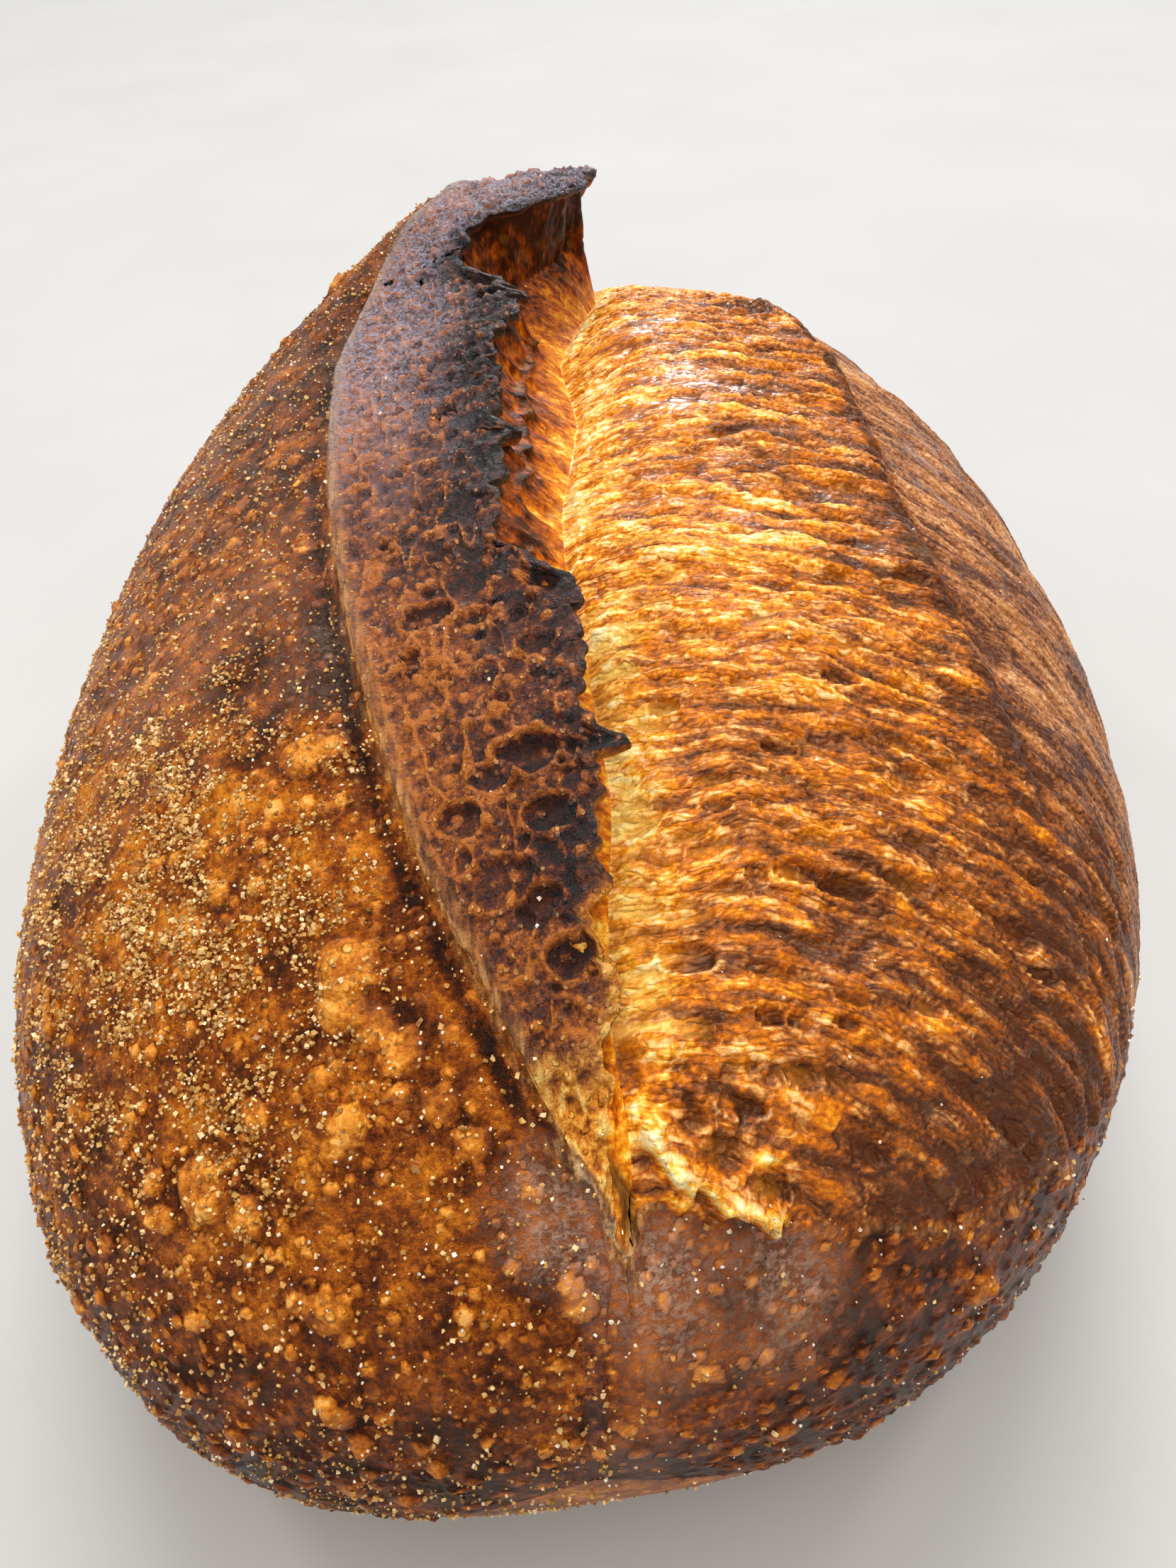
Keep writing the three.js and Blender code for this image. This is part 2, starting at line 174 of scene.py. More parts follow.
def dice(i, j, k):
    """A repeatable random number from 0 to 1 for each lattice corner, by mixing its bits."""
    i, j, k = (np.asarray(n).astype(np.int64).astype(np.uint32) for n in (i, j, k))
    mixed = i * np.uint32(374761393) + j * np.uint32(668265263) + k * np.uint32(2246822519)
    mixed = (mixed ^ (mixed >> np.uint32(13))) * np.uint32(1274126177)
    return (mixed ^ (mixed >> np.uint32(16))) / 2.0 ** 32


def noise(x, y, z):
    """Smooth noise from -1 to 1: the eight lattice corners round a point, blended by s-curves."""
    x, y, z = np.broadcast_arrays(*(np.asarray(n, float) for n in (x, y, z)))
    cell = [np.floor(n) for n in (x, y, z)]
    weight = [ease(n - c, 0, 1) for n, c in zip((x, y, z), cell)]
    total = 0.0
    for corner in np.ndindex(2, 2, 2):
        share = 1.0
        for bit, w in zip(corner, weight):
            share = share * (w if bit else 1 - w)
        total = total + share * dice(*(c + bit for c, bit in zip(cell, corner)))
    return 2 * total - 1


def rough(p, size, seed, octaves=3, gain=0.5):
    """Layers of noise, each 2.1 times finer and gain times lower than the one before it. The
    first has features of that size, and the seed moves the whole lattice."""
    total, height, reach = 0.0, 1.0, 0.0
    for octave in range(octaves):
        q = p / (size / 2.1 ** octave) + (7.3 * seed + 3.1 * octave)
        total = total + height * noise(q[..., 0], q[..., 1], q[..., 2])
        reach, height = reach + height, height * gain
    return total / reach


def bubbles(p, pitch, radius, chance, seed):
    """Height of round caps over seeds that are strewn one to a lattice cell of that pitch, with
    some left out: the square root of r^2 - d^2, the largest of all the caps at each point."""
    q = p / pitch + 11.7 * seed
    cell = np.floor(q).astype(np.int64)
    best = np.zeros(p.shape[:-1])
    low, high = radius
    for step in np.ndindex(3, 3, 3):
        a, b, c = (cell[..., axis] + step[axis] - 1 for axis in range(3))
        draw = dice(a + 911, b + 77, c + 5) < chance
        square = (low + (high - low) * dice(a + 3, b + 401, c + 29) ** 2) ** 2
        for axis, n in enumerate((a, b, c)):
            seat = n + dice(a + 57 * axis, b + 131 * axis, c + 19 * axis)
            square = square - ((seat - q[..., axis]) * pitch) ** 2
        best = np.maximum(best, np.where(draw, square, 0))
    return np.sqrt(best)


def cells(u, v, seed):
    """Uneven cells on a plane, one seed strewn in each unit square. Gives the distance from a
    cell's border, 0 there and about 1 in its middle, and a random number for each cell."""
    iu, iv = np.floor(u), np.floor(v)
    first, second, luck = (np.full(u.shape, n) for n in (9.0, 9.0, 0.0))
    for i, j in np.ndindex(3, 3):
        a, b = iu + i - 1, iv + j - 1
        d = np.hypot(a + dice(a, b, seed) - u, b + dice(a, b, seed + 50) - v)
        luck = np.where(d < first, dice(a, b, seed + 100), luck)
        second = np.minimum(second, np.maximum(first, d))
        first = np.minimum(first, d)
    return second - first, luck


def outline(t, shape):
    """(1 - s^n)^(1/n), where s runs from 0 at the widest place to 1 at either end."""
    widest, near, far = shape
    s = np.abs(t - widest) / np.where(t < widest, 1 + widest, 1 - widest)
    power = np.where(t < widest, near, far)
    return (1 - np.clip(s, 0, 1) ** power) ** (1 / power)


def section(t):
    """Sizes of the cross-sections at t, from -1 at the near end to 1 at the far end: each is its
    largest value times its outline there, and the middle line is a shallow curve."""
    y = t * LENGTH / 2
    return SimpleNamespace(y=y, middle=LEAN * y + BEND * y * y,
                           left=HALF_WIDTH_LEFT * outline(t, PLAN_LEFT),
                           right=HALF_WIDTH_RIGHT * outline(t, PLAN_RIGHT),
                           crown=outline(t, CROWN),
                           bottom=outline(t, (0.0, PLAN_BOTTOM, PLAN_BOTTOM)))


def dough_point(size, turn):
    """Super-ellipse sections: across = w |sin|^(2/n), up = h |cos|^(2/n). A turn goes round
    once: 0 below, 1/4 left, 1/2 on top, 3/4 right. The lower half is cut off flat at z = 0."""
    side, up = -np.sin(2 * np.pi * turn), -np.cos(2 * np.pi * turn)
    power = np.where(up < 0, SECTION_BOTTOM, SECTION_TOP)
    reach = np.where(side < 0, size.left, size.right) * np.abs(side) ** (2 / power)
    climb = np.abs(up) ** (2 / power)
    under = np.minimum(1, BASE_SPREAD * climb * size.bottom)
    below = -GIRTH_HEIGHT * (1 - (1 - under) ** RIM_ROUNDING)
    above = (HEIGHT - GIRTH_HEIGHT) * size.crown * climb
    z = GIRTH_HEIGHT + np.where(up < 0, below, above)
    x = size.middle + np.sign(side) * reach
    return np.stack(np.broadcast_arrays(x, size.y, z), -1)


def turn_across(size, across):
    """The turn at which the top of the dough stands at a place across the loaf: half a turn, and
    arcsin (x / w)^(n / 2) to either side of it."""
    offset = across - size.middle
    share = np.clip(np.abs(offset) / np.where(offset < 0, size.left, size.right), 0, 0.98)
    return 0.5 + np.sign(offset) * np.arcsin(share ** (SECTION_TOP / 2)) / (2 * np.pi)


def row_places(count):
    """t of each row, at equal steps along the crown line, with extra rows round the hood."""
    t = -np.cos(np.linspace(3e-4, np.pi - 3e-4, 6001))
    top = dough_point(section(t), 0.5)
    step = np.hypot(np.diff(top[:, 1]), np.diff(top[:, 2]))
    middle = 0.5 * (top[1:, 1] + top[:-1, 1])
    in_hood = ease(middle, *HOOD_SPAN[:2]) * (1 - ease(middle, *HOOD_SPAN[2:]))
    step *= 1 + HOOD_EXTRA_ROWS * in_hood
    run = np.concatenate([[0], np.cumsum(step)])
    return np.interp(np.linspace(0, run[-1], count), run, t)


def raggedness(along):
    """How far the torn edge is in or out: two layers of noise for its bites, two finer ones for
    teeth and threads that come in groups, and a bell for each splinter."""
    fade = ease(along, -CUT_END, -95) * (1 - ease(along, 78, 96))
    torn = noise(along / RAGGED_PITCH, 3.7, 0) + 0.7 * noise(2.3 * along / RAGGED_PITCH, 9.1, 4)
    teeth, threads, groups = FRAY_PITCHES
    frayed = 0.75 * noise(along / teeth, 6.5, 5) + 0.5 * noise(along / threads, 1.5, 2)
    frayed = frayed * ease(noise(along / groups, 2.5, 6), -0.7, 0.3)
    for place, reach, width in SPLINTERS:
        frayed = frayed + reach * bell(along - place, width)
    return fade * (RAGGED_REACH * torn + frayed)


def moved(point, x=0.0, y=0.0, z=0.0):
    """The points, shifted along each axis by arrays or numbers."""
    return point + np.stack(np.broadcast_arrays(x, y, z), -1)


def lerp(a, b, s):
    """a at s = 0, b at s = 1, in a straight line."""
    return a + (b - a) * s


t_rows = row_places(ROWS)[:, None]
size = section(t_rows)
along = np.clip(size.y, -CUT_END, CUT_END)
size_there = section(2 * along / LENGTH)
ridge_turn = turn_across(size_there, track(RIDGE_ACROSS)(along))
edge_turn = turn_across(size_there, track(EDGE_ACROSS)(along))
valley_turn = turn_across(size_there, track(VALLEY_ACROSS)(along))
hang = track(EDGE_HANG)(along)
ragged = raggedness(along)

ridge_flat = dough_point(size, ridge_turn)
ridge = moved(ridge_flat, z=track(RIDGE_LIFT)(along))
edge = moved(dough_point(size, edge_turn), y=-hang, z=track(EDGE_LIFT)(along))
hooked = ease(along, -104, -92) * (1 - ease(along, 70, 84))
hook = HOOK_REACH * noise(along / HOOK_PITCH, 4.5, 31) * hooked
tear = np.stack(np.broadcast_arrays(ragged, hook, -RAGGED_DROP * ragged), -1)
valley_flat = dough_point(size, valley_turn)
valley = moved(valley_flat, z=-track(VALLEY_DEPTH)(along))
lip = moved(edge + 0.9 * tear, x=-track(UNDERCUT)(along), y=1.4 * hang,
            z=-track(LIP_THICKNESS)(along))
set_back = track(WALL_SET_BACK)(along)
wall = moved(lerp(lip, valley, 0.5), x=-set_back, y=1.2 * hang, z=-0.6 * set_back)


def shares(count):
    """Evenly spaced shares from 0 up to, but not with, 1."""
    return (np.arange(count) / count)[None, :]


def outward(turn):
    """The unit vector along -sin of the turn, 0.8 e |e| and -cos of the turn, where e is the
    share of the way to the end: roughly the way out of the dough, near enough for soft relief."""
    end = 2 * size.y / LENGTH
    n = np.stack(np.broadcast_arrays(-np.sin(2 * np.pi * turn), 0.8 * end * np.abs(end),
                                     -np.cos(2 * np.pi * turn)), -1)
    return n / np.linalg.norm(n, axis=-1, keepdims=True)


def swelling(p):
    """Soft unevenness of a hand-shaped loaf: one layer of noise."""
    return SWELL_HEIGHT * noise(*(p[..., axis] / SWELL_SIZE for axis in range(3)))


s = shares(SKIN_COLUMNS)
skin_turn = lerp(RIM_TURN, ridge_turn, s)
skin_grid = dough_point(size, skin_turn)
away = np.linalg.norm(skin_grid - ridge_flat, axis=-1) / SKIN_FALL_OFF
skin_grid = moved(skin_grid, z=track(RIDGE_LIFT)(along) * np.exp(-away ** 1.5))
skin_grid += outward(skin_turn) * (swelling(skin_grid) * ease(s, 0, 0.2) * (1 - s))[..., None]

face_share = np.linspace(0, 1, FACE_COLUMNS)[None, :]
face_width = np.linalg.norm(edge - ridge, axis=-1)
face_grid = lerp(ridge, edge, face_share[..., None])
face_grid = moved(face_grid, z=face_share * (1 - face_share) * FACE_BOW * face_width)
face_grid += tear * face_share[..., None] ** 4

lip_share = (np.arange(1, LIP_COLUMNS + 1) / (LIP_COLUMNS + 1))[None, :]
lip_grid = lerp(edge + tear, lip, lip_share[..., None])
lip_grid = moved(lip_grid, x=1.6 * lip_share * (1 - lip_share) * track(UNDERCUT)(along),
                 z=-0.9 * lip_share * (1 - lip_share) * track(LIP_THICKNESS)(along))

wall_share = shares(WALL_COLUMNS)
s = wall_share[..., None]
wall_grid = np.where(s < 0.5, lerp(lip, wall, 2 * s), lerp(wall, valley, 2 * s - 1))

s = shares(BELLY_COLUMNS)
belly_turn = lerp(valley_turn, BELLY_END_TURN, s ** 1.15)
belly_grid = dough_point(size, belly_turn)
from_valley = np.linalg.norm(belly_grid - valley_flat, axis=-1)
sunk = np.exp(-(from_valley / VALLEY_WIDTH) ** 1.3)
belly_grid = moved(belly_grid, z=-track(VALLEY_DEPTH)(along) * sunk)
opened = ease(size.y, -112, -96) * (1 - ease(size.y, 84, 104))
strand = noise(belly_grid[..., 0] / STRAND_RUN,
               (belly_grid[..., 1] + 0.12 * belly_grid[..., 0]) / STRAND_PITCH, 1.5)
fade = ease(s, 0, 0.12) * (1 - ease(s, 0.75, 1)) * opened
belly_grid += outward(belly_turn) * (fade * STRAND_HEIGHT * (1 - 2 * np.abs(strand)))[..., None]
from_tear = belly_grid[..., 0] - track(SIDE_TEAR_ACROSS)(size.y)
tear_slope = np.where(from_tear < 0, SIDE_TEAR_RISE, SIDE_TEAR_FALL)
tear_height = track(SIDE_TEAR_HEIGHT)(size.y)
belly_grid = moved(belly_grid, z=tear_height * bell(from_tear, tear_slope) * opened)

s = shares(FLANK_COLUMNS)
flank_turn = lerp(BELLY_END_TURN, 1 - RIM_TURN, s)
flank_grid = dough_point(size, flank_turn)
flank_grid += outward(flank_turn) * (swelling(flank_grid) * (1 - s) * s * 3)[..., None]

base_turn = lerp(1 - RIM_TURN, 1 + RIM_TURN, shares(BASE_COLUMNS))
base_grid = dough_point(size, base_turn)

# The part's origin is under the middle of its box, so the dough is moved there as a whole.
dough = np.concatenate([skin_grid, face_grid, lip_grid, wall_grid, belly_grid, flank_grid,
                        base_grid], 1)
box_low, box_high = (np.array(corner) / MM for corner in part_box("loaf"))
span_x = dough[..., 0].min(), dough[..., 0].max()
origin_shift = np.array([(box_low[0] + box_high[0]) / 2 - sum(span_x) / 2, 0.0, 0.0])

# Columns where one kind of surface ends and the next begins.
AT_RIDGE = SKIN_COLUMNS
AT_EDGE = AT_RIDGE + FACE_COLUMNS
AT_LIP = AT_EDGE + LIP_COLUMNS
AT_VALLEY = AT_LIP + WALL_COLUMNS
AT_FLANK = AT_VALLEY + BELLY_COLUMNS
AT_RIM = AT_FLANK + FLANK_COLUMNS
COLUMNS = AT_RIM + BASE_COLUMNS
FACE, LIP, WALL = slice(AT_RIDGE, AT_EDGE), slice(AT_EDGE, AT_LIP), slice(AT_LIP, AT_VALLEY)
BELLY, BASE = slice(AT_VALLEY, AT_FLANK), slice(AT_RIM, COLUMNS)


def surface_normals(p):
    """Outward unit normals: the cross product of the steps round the loaf and along it."""
    around = np.roll(p, -1, 1) - np.roll(p, 1, 1)
    onward = np.gradient(p, axis=0)
    n = np.cross(around, onward)
    return n / np.maximum(np.linalg.norm(n, axis=-1, keepdims=True), 1e-9)


# ------------------------------------------------------------------ what the oven did: the skin
# The taut skin of the dough dried, browned and blistered. Gas lifted blisters 1 to 7 mm across.
# The whole surface gets this relief first, because it shows wherever nothing is torn.

BLISTERS = (                   # pitch of seeds, smallest and largest radius, chance, flatness
    (8.5, (1.2, 2.8), 0.45, 0.42),
    (4.2, (0.8, 1.7), 0.75, 0.52),
    (2.2, (0.45, 1.0), 0.9, 0.6),
)
NAMED_BLISTERS = (             # the largest: centre and radius
    (-31.5, -90.2, 84, 3.2), (-27.9, -92.9, 84, 2.4), (-30.6, -86.5, 86, 3.3),
    (-25.5, -95.5, 82, 2.6), (-47.4, -102, 72, 3.4), (-43, -105, 71, 2.4),
    (-35, -61, 94, 3.0), (-31.5, -60.2, 94, 2.0), (34.2, -114.8, 51, 2.6),
    (15, -119.5, 50, 2.2), (-62, -88, 68, 3.0), (-19, -104, 78, 2.0), (-22, -101, 80, 1.9),
)
NAMED_BLISTER_RISE = 0.42      # as a share of the radius
GRAIN_BUMPS = (1.7, (0.35, 0.85), 0.7)                 # pitch, radii, chance
TOASTED_PATCHES = (            # x, y, reach, how much darker
    (-39, -42, 13, 0.36), (-37, 22, 16, 0.16), (-60, -60, 24, -0.10), (-26, -92, 15, -0.10))
FLOURED_PATCHES = ((-12.5, -109.5, 6.5, 0.95), (-2, -115.5, 5, 0.7), (10, -116, 5.5, 0.7),
                   (-8, -120, 9, 0.3))
SEMOLINA_PATCHES = ((-48, -79, 19, 1.1), (-57, -56, 19, 0.9))


def warped(p, size, reach, seed):
    """The points plus reach times noise, two layers of it along each axis, so that round
    patterns on them come out uneven."""
    push = [rough(p + 31.7 * axis, size, seed + axis, 2) for axis in range(3)]
    return p + reach * np.stack(push, -1)


def spot_at(p, x, y, z, radius):
    """1 - d^2 / r^2 inside a ball round a place, 0 outside it."""
    d = np.linalg.norm(p - np.array([x, y, z]), axis=-1)
    return np.clip(1 - (d / radius) ** 2, 0, 1)


def patch(p, x, y, reach):
    """A soft round spot in plan: exp(-(d / reach)^2)."""
    return np.exp(-((p[..., 0] - x) ** 2 + (p[..., 1] - y) ** 2) / reach ** 2)


def patches(p, table):
    """The sum of such spots, each times its own strength."""
    return sum(strength * patch(p, x, y, reach) for x, y, reach, strength in table)


p = dough
shaken = warped(p, 4.5, 0.6, 5)
relief = 0.4 * rough(p, 13, 1) + 0.24 * rough(p, 4.0, 2)
raised = np.zeros(p.shape[:2])
for kind, (pitch, radius, chance, flat) in enumerate(BLISTERS):
    cap = bubbles(shaken, pitch, radius, chance, 3 + kind)
    crowd = ease(rough(p, 22, 9 + kind, 2) + 0.6 * ease(p[..., 1], -96, -108), -0.45, 0.2)
    relief += flat * cap * crowd
    raised = np.maximum(raised, np.minimum(1, 2.4 * cap / radius[1]) * crowd)
for x, y, z, radius in NAMED_BLISTERS:
    bulge = spot_at(shaken, x, y, z, radius)
    relief += NAMED_BLISTER_RISE * radius * np.sqrt(bulge)
    raised = np.maximum(raised, np.sqrt(bulge))
relief += 0.4 * bubbles(p, *GRAIN_BUMPS, 8)
relief *= 0.35 + 0.65 * ease(p[..., 2], 0.2, 9)

x, y, z = (p[..., axis] for axis in range(3))
low_down = ease(z, 10, 0.5)
front = ease(y, -88, -112)
left_side = ease(-x, 62, 84)

# Marks are numbers from 0 to 1 at each point, which the materials read: how browned it is
# (toast), raised in a blister, floured on the skin, glazed on the belly and given a bluish grey
# painted sheen on the ear (flour), pitted or open and so painted dark as painted shade
# (hollow), drawn into fibres or a pale rim, with the rims of the belly's open cells painted
# brighter on their near side (fibre), unburnt on the ear (golden), smooth on the belly (calm), not
# torn (whole), strewn with semolina (crumbs), and how far it stands out from what is round it,
# by which raised points are painted lighter and low ones darker as painted shade (proud).
marks = {name: np.zeros(p.shape[:2]) for name in ("hollow", "fibre", "golden", "calm")}
marks["whole"] = np.ones(p.shape[:2])
marks["blister"] = raised
# The last term of toast makes the near end darker low down: painted shade.
marks["toast"] = (0.50 + 0.30 * rough(p, 21, 21) + 0.16 * rough(p, 6, 22)
                  + patches(p, TOASTED_PATCHES) - 0.08 * ease(-x, 62, 82)
                  + 0.26 * front * ease(z, 70, 44))
marks["flour"] = (0.4 * rough(p, 15, 23) + 0.25 * left_side + 0.5 * low_down - 0.12
                  + 0.38 * ease(y, -90, -40) * (x < 0) + patches(p, FLOURED_PATCHES))
marks["crumbs"] = np.clip(patches(p, SEMOLINA_PATCHES) + 0.3 * rough(p, 9, 25), 0, 1)


# The near end of the tear is a ragged line in the skin, at these places across and along: a
# V-shaped crack on the left, a short split in the middle, and a thin edge that rises to the right.
FRONT_EDGE = ((-16, -99.5), (-11.8, -104.1), (-9.5, -106.2), (-7.4, -107.9), (-6.6, -110.0),
              (-5.9, -111.6), (-5.2, -113.2), (-4.4, -111.7), (-3.3, -110.3), (-1.4, -109.9),
              (0.2, -111.4), (2.2, -111.2), (4, -112.3), (6.2, -111.6), (8.6, -112.4),
              (9.6, -114.2), (10.5, -112.5), (14, -112.2), (18.5, -112), (27.2, -111.6),
              (37.3, -108.7), (45.3, -104.2))
FRONT_END = -92                # farther along than this, all is torn as far as its own edges say
TORN_RIM = (-0.3, 0.4)         # whole skin gives way to torn dough over this distance
FAR_END = (96, 108)            # and the cut gives way to whole skin over this one
front_edge = track(FRONT_EDGE)
edge_slope = (front_edge(x + 0.2) - front_edge(x - 0.2)) / 0.4
jagged = 0.75 * noise(x / 1.5, y / 1.5, 68.5) + 0.45 * noise(x / 0.65, y / 0.65, 69.5)
past_front = np.where(y < FRONT_END, (y - front_edge(x)) / np.hypot(1, edge_slope) + jagged, 99.0)
before_far_end = 1 - ease(size.y, *FAR_END)
cut_open = ease(past_front, *TORN_RIM) * before_far_end


def torn_here(columns, torn, height, **own):
    """Blends a torn surface's own relief and marks into the skin's, by how torn each point is.
    The mark whole, which isn't given, becomes 1 - torn."""
    relief[:, columns] = lerp(relief[:, columns], height, torn)
    for name, values in marks.items():
        values[:, columns] = lerp(values[:, columns], own.get(name, 0.0), torn)


# ------------------------------------------------------------------ what the oven did: the ear
# The face of the cut dried to a porous rind and scorched towards its torn edge. Knobs and pits
# cover it, with burst bubbles near the edge, thin raised veins, and fibres along the ridge.

FACE_HOLES = (                 # x, y, radius, depth
    (-23.3, 4.2, 1.7, 3.2), (-15.3, -2.1, 1.9, 3.4), (-19.4, -44.9, 3.2, 2.2),
    (-13.9, -47.4, 2.2, 1.7), (-21.7, -50.8, 1.5, 1.5), (-21.2, -53.4, 1.3, 1.3),
    (-18.0, -55.4, 1.2, 1.0), (-9.4, -68.4, 3.8, 1.9), (-13.2, -70.2, 2.8, 1.6),
    (-17.4, -74.2, 2.8, 1.2), (-7.8, -75.8, 3.2, 1.6), (-7.2, -90.4, 2.7, 2.0),
    (-13.8, -82.0, 3.6, 1.1), (-6.6, -53.4, 2.4, 1.8), (-14.8, -22.7, 1.4, 1.2),
    (-20.5, 18.0, 1.3, 1.6), (-12.0, 30.0, 1.5, 1.8), (-9.0, -84.5, 2.0, 1.3),
    (-24.2, -30.0, 1.5, 1.0), (-17.4, -36.0, 1.8, 1.0), (-11.6, -60.5, 1.4, 1.1),
    (-22.6, -14.0, 1.6, 1.0), (-18.2, 10.5, 1.4, 1.2),
)
HOLE_SQUASH = 0.72
# A hole's darkness is how dark it is painted: painted shade in its depth.
DEEP_HOLE = (1.0, 0.35, 1.3)   # share of the depth, power of its profile, how dark
SHALLOW_HOLE = (0.55, 0.6, 0.4)
RIDGE_BAND = 1.9               # how wide the fibres along the ridge lie on the face,
RIDGE_LAP = 1.5                # and on the skin,
GROOVE_PLACE, GROOVE_WIDTH = 2.9, 0.9                  # which has a groove beside them
PITS = (4.4, (0.8, 2.1), 0.5)  # pitch, smallest and largest radius, chance
SMALL_PITS = (2.0, (0.4, 0.85), 0.5)
KNOBS = (1.7, (0.45, 0.95), 0.85)

p = dough[:, FACE]
s = face_share
x, y = p[..., 0], p[..., 1]
charred = ease(s, 0.3, 0.85) * ease(y, -100, -62)
shaken = warped(p, 3, 0.7, 30)
pits = bubbles(shaken, *PITS, 31)
small_pits = bubbles(shaken, *SMALL_PITS, 32)
knobs = bubbles(p, *KNOBS, 33)
veins = bell(rough(p * np.array([1.5, 0.8, 1]), 6.5, 44, 2), 0.05)
flakes = 1 - 2 * np.abs(rough(p * np.array([1, 1.8, 1]), 4.5, 45, 3, 0.6))
height = (0.5 * rough(p, 7, 34) - 0.75 * pits * (0.4 + 0.6 * ease(s, 0.2, 0.7))
          - 0.7 * small_pits + 0.85 * knobs + 0.6 * veins + 0.4 * rough(p, 1.6, 35, 3, 0.7)
          + 1.1 * (flakes - 0.3) * charred * ease(y, -40, 5))
holes = np.zeros(p.shape[:2])
# Each hole is painted darker inside, by how deep it is: painted shade, carried by the hollow mark.
for hole_x, hole_y, radius, depth in FACE_HOLES:
    d = np.hypot(x - hole_x, (y - hole_y) / HOLE_SQUASH) / radius + 0.3 * rough(p, 2.8, 36, 3)
    cup = np.clip(1 - d ** 2, 0, 1)
    share, steepness, darkness = DEEP_HOLE if depth > 3 else SHALLOW_HOLE
    height = lerp(height, -depth * share + 0.8 * knobs, cup ** steepness)
    height += 0.6 * bell(d - 1.08, 0.13)
    holes = np.maximum(holes, cup * darkness)
ridge_band = bell(s * face_width, RIDGE_BAND)
fibres = noise(s * face_width / 0.42, y / 7, 7.5) + 0.5 * noise(s * face_width / 0.8, y / 3, 8.5)
height = height * (1 - 0.85 * ridge_band) + ridge_band * (0.8 + 0.4 * fibres)
dark_field = 0.2 + 0.34 * ease(s, 0.1, 0.8) * ease(y, -108, -72) + 0.16 * ease(y, -60, 10)
# On the ear the flour mark is a bluish grey painted sheen towards the ridge and over the hood, a
# painted reflection.
torn_here(FACE, cut_open[:, FACE], height * (1 - 0.5 * ease(s, 0.95, 1)),
          toast=dark_field + 0.26 * ease(s, 0.55, 0.95) * ease(y, -46, -14) + 0.2 * rough(p, 5, 37)
          + 0.3 * patch(p, -3, -44, 5) + 0.3 * patch(p, 0, -67, 4) - 0.14 * np.minimum(1, knobs)
          + 0.22 * ease(s, 0.4, 0.8) * bell(y + 81, 7) + 0.12 * bell(y + 86, 9)
          - 0.14 * bell(y - 6, 16) * ease(s, 0.8, 0.4) - 0.3 * holes * ease(y, -35, -45)
          - 0.14 * veins,
          flour=(0.2 * ease(y, -70, -40) + 0.8 * ease(y, -30, 30)) * ease(s, 0.95, 0.35)
          + 0.9 * ease(y, 42, 66) + 0.3 * rough(p, 9, 38) * ease(y, -40, 0),
          hollow=np.clip(0.5 * pits + 0.7 * small_pits + holes, 0, 1),
          fibre=ridge_band * (0.75 + 0.25 * fibres), crumbs=0.12,
          golden=np.maximum(ease(y + 2 * noise(x / 1.5, y / 1.5, 39.5), -97, -104),
                            0.7 * ease(s, 0.86, 0.98) * ease(y, -78, -87)))

p = dough[:, LIP]
torn_here(LIP, cut_open[:, LIP], 0.5 * rough(p, 2.6, 46, 3, 0.6) + 0.2 * rough(p, 0.9, 47, 2),
          toast=0.4 + 0.6 * ease(p[..., 1], -100, -50) - 0.5 * lip_share,
          golden=np.maximum(0.85 * ease(p[..., 1], -56, -74), 0.9 * ease(lip_share, 0.15, 0.6)))

# The ridge's fibres lap over onto the skin beside it, and the groove beside them is painted darker:
# painted shade.
p = dough[:, :AT_RIDGE]
to_ridge = np.linalg.norm(p - ridge_flat, axis=-1)
ridge_live = ease(size.y, -106, -101) * before_far_end
lap = bell(to_ridge, RIDGE_LAP) * ridge_live
groove = bell(to_ridge - GROOVE_PLACE, GROOVE_WIDTH) * ridge_live
lapped = 0.8 + 0.3 * noise(to_ridge / 0.5, p[..., 1] / 6, 9.5)
relief[:, :AT_RIDGE] = lerp(relief[:, :AT_RIDGE], lapped, lap) - 0.6 * groove
marks["fibre"][:, :AT_RIDGE] = lap
marks["toast"][:, :AT_RIDGE] += 0.22 * groove
marks["blister"][:, :AT_RIDGE] *= 1 - lap

# ------------------------------------------------------------ what the oven did: under the ear
# Where the ear tore away from the belly, moist dough was pulled into upright sheets and strands.
# They are amber where they caught the heat, and painted nearly black, as painted shade, only close
# under the ear's edge and most of all under the hood.

STRING_PITCH = 1.5             # along the wall
THREAD_PITCH = 0.6
SHEET_PITCH = 4.6
BURSTS = (3.1, (0.6, 1.5), 0.55)
LEDGE_SHARE = 0.46             # how far down the wall a ledge of film hangs, and how thick it is
LEDGE_THICKNESS = 0.07

p = dough[:, WALL]
s = wall_share
y = p[..., 1]
strings = 1 - 2 * np.abs(noise(y / STRING_PITCH, s * 2.4, 40.5))
threads = noise(y / THREAD_PITCH, s * 5, 41.5)
sheets = noise(y / SHEET_PITCH, s * 1.6, 42.5)
burst = bubbles(p, *BURSTS, 43)
ledge = bell(s - LEDGE_SHARE - 0.1 * noise(y / 3.7, 2.5, 46.5), LEDGE_THICKNESS)
body = np.sin(np.pi * np.clip(s + 0.04, 0, 1))
open_wall = ease(y, -30, -8)
height = (0.45 * strings + 0.14 * threads + 1.0 * sheets - 0.5 * burst) * body
height += 1.1 * ledge * open_wall * ease(62 - y, 0, 12)
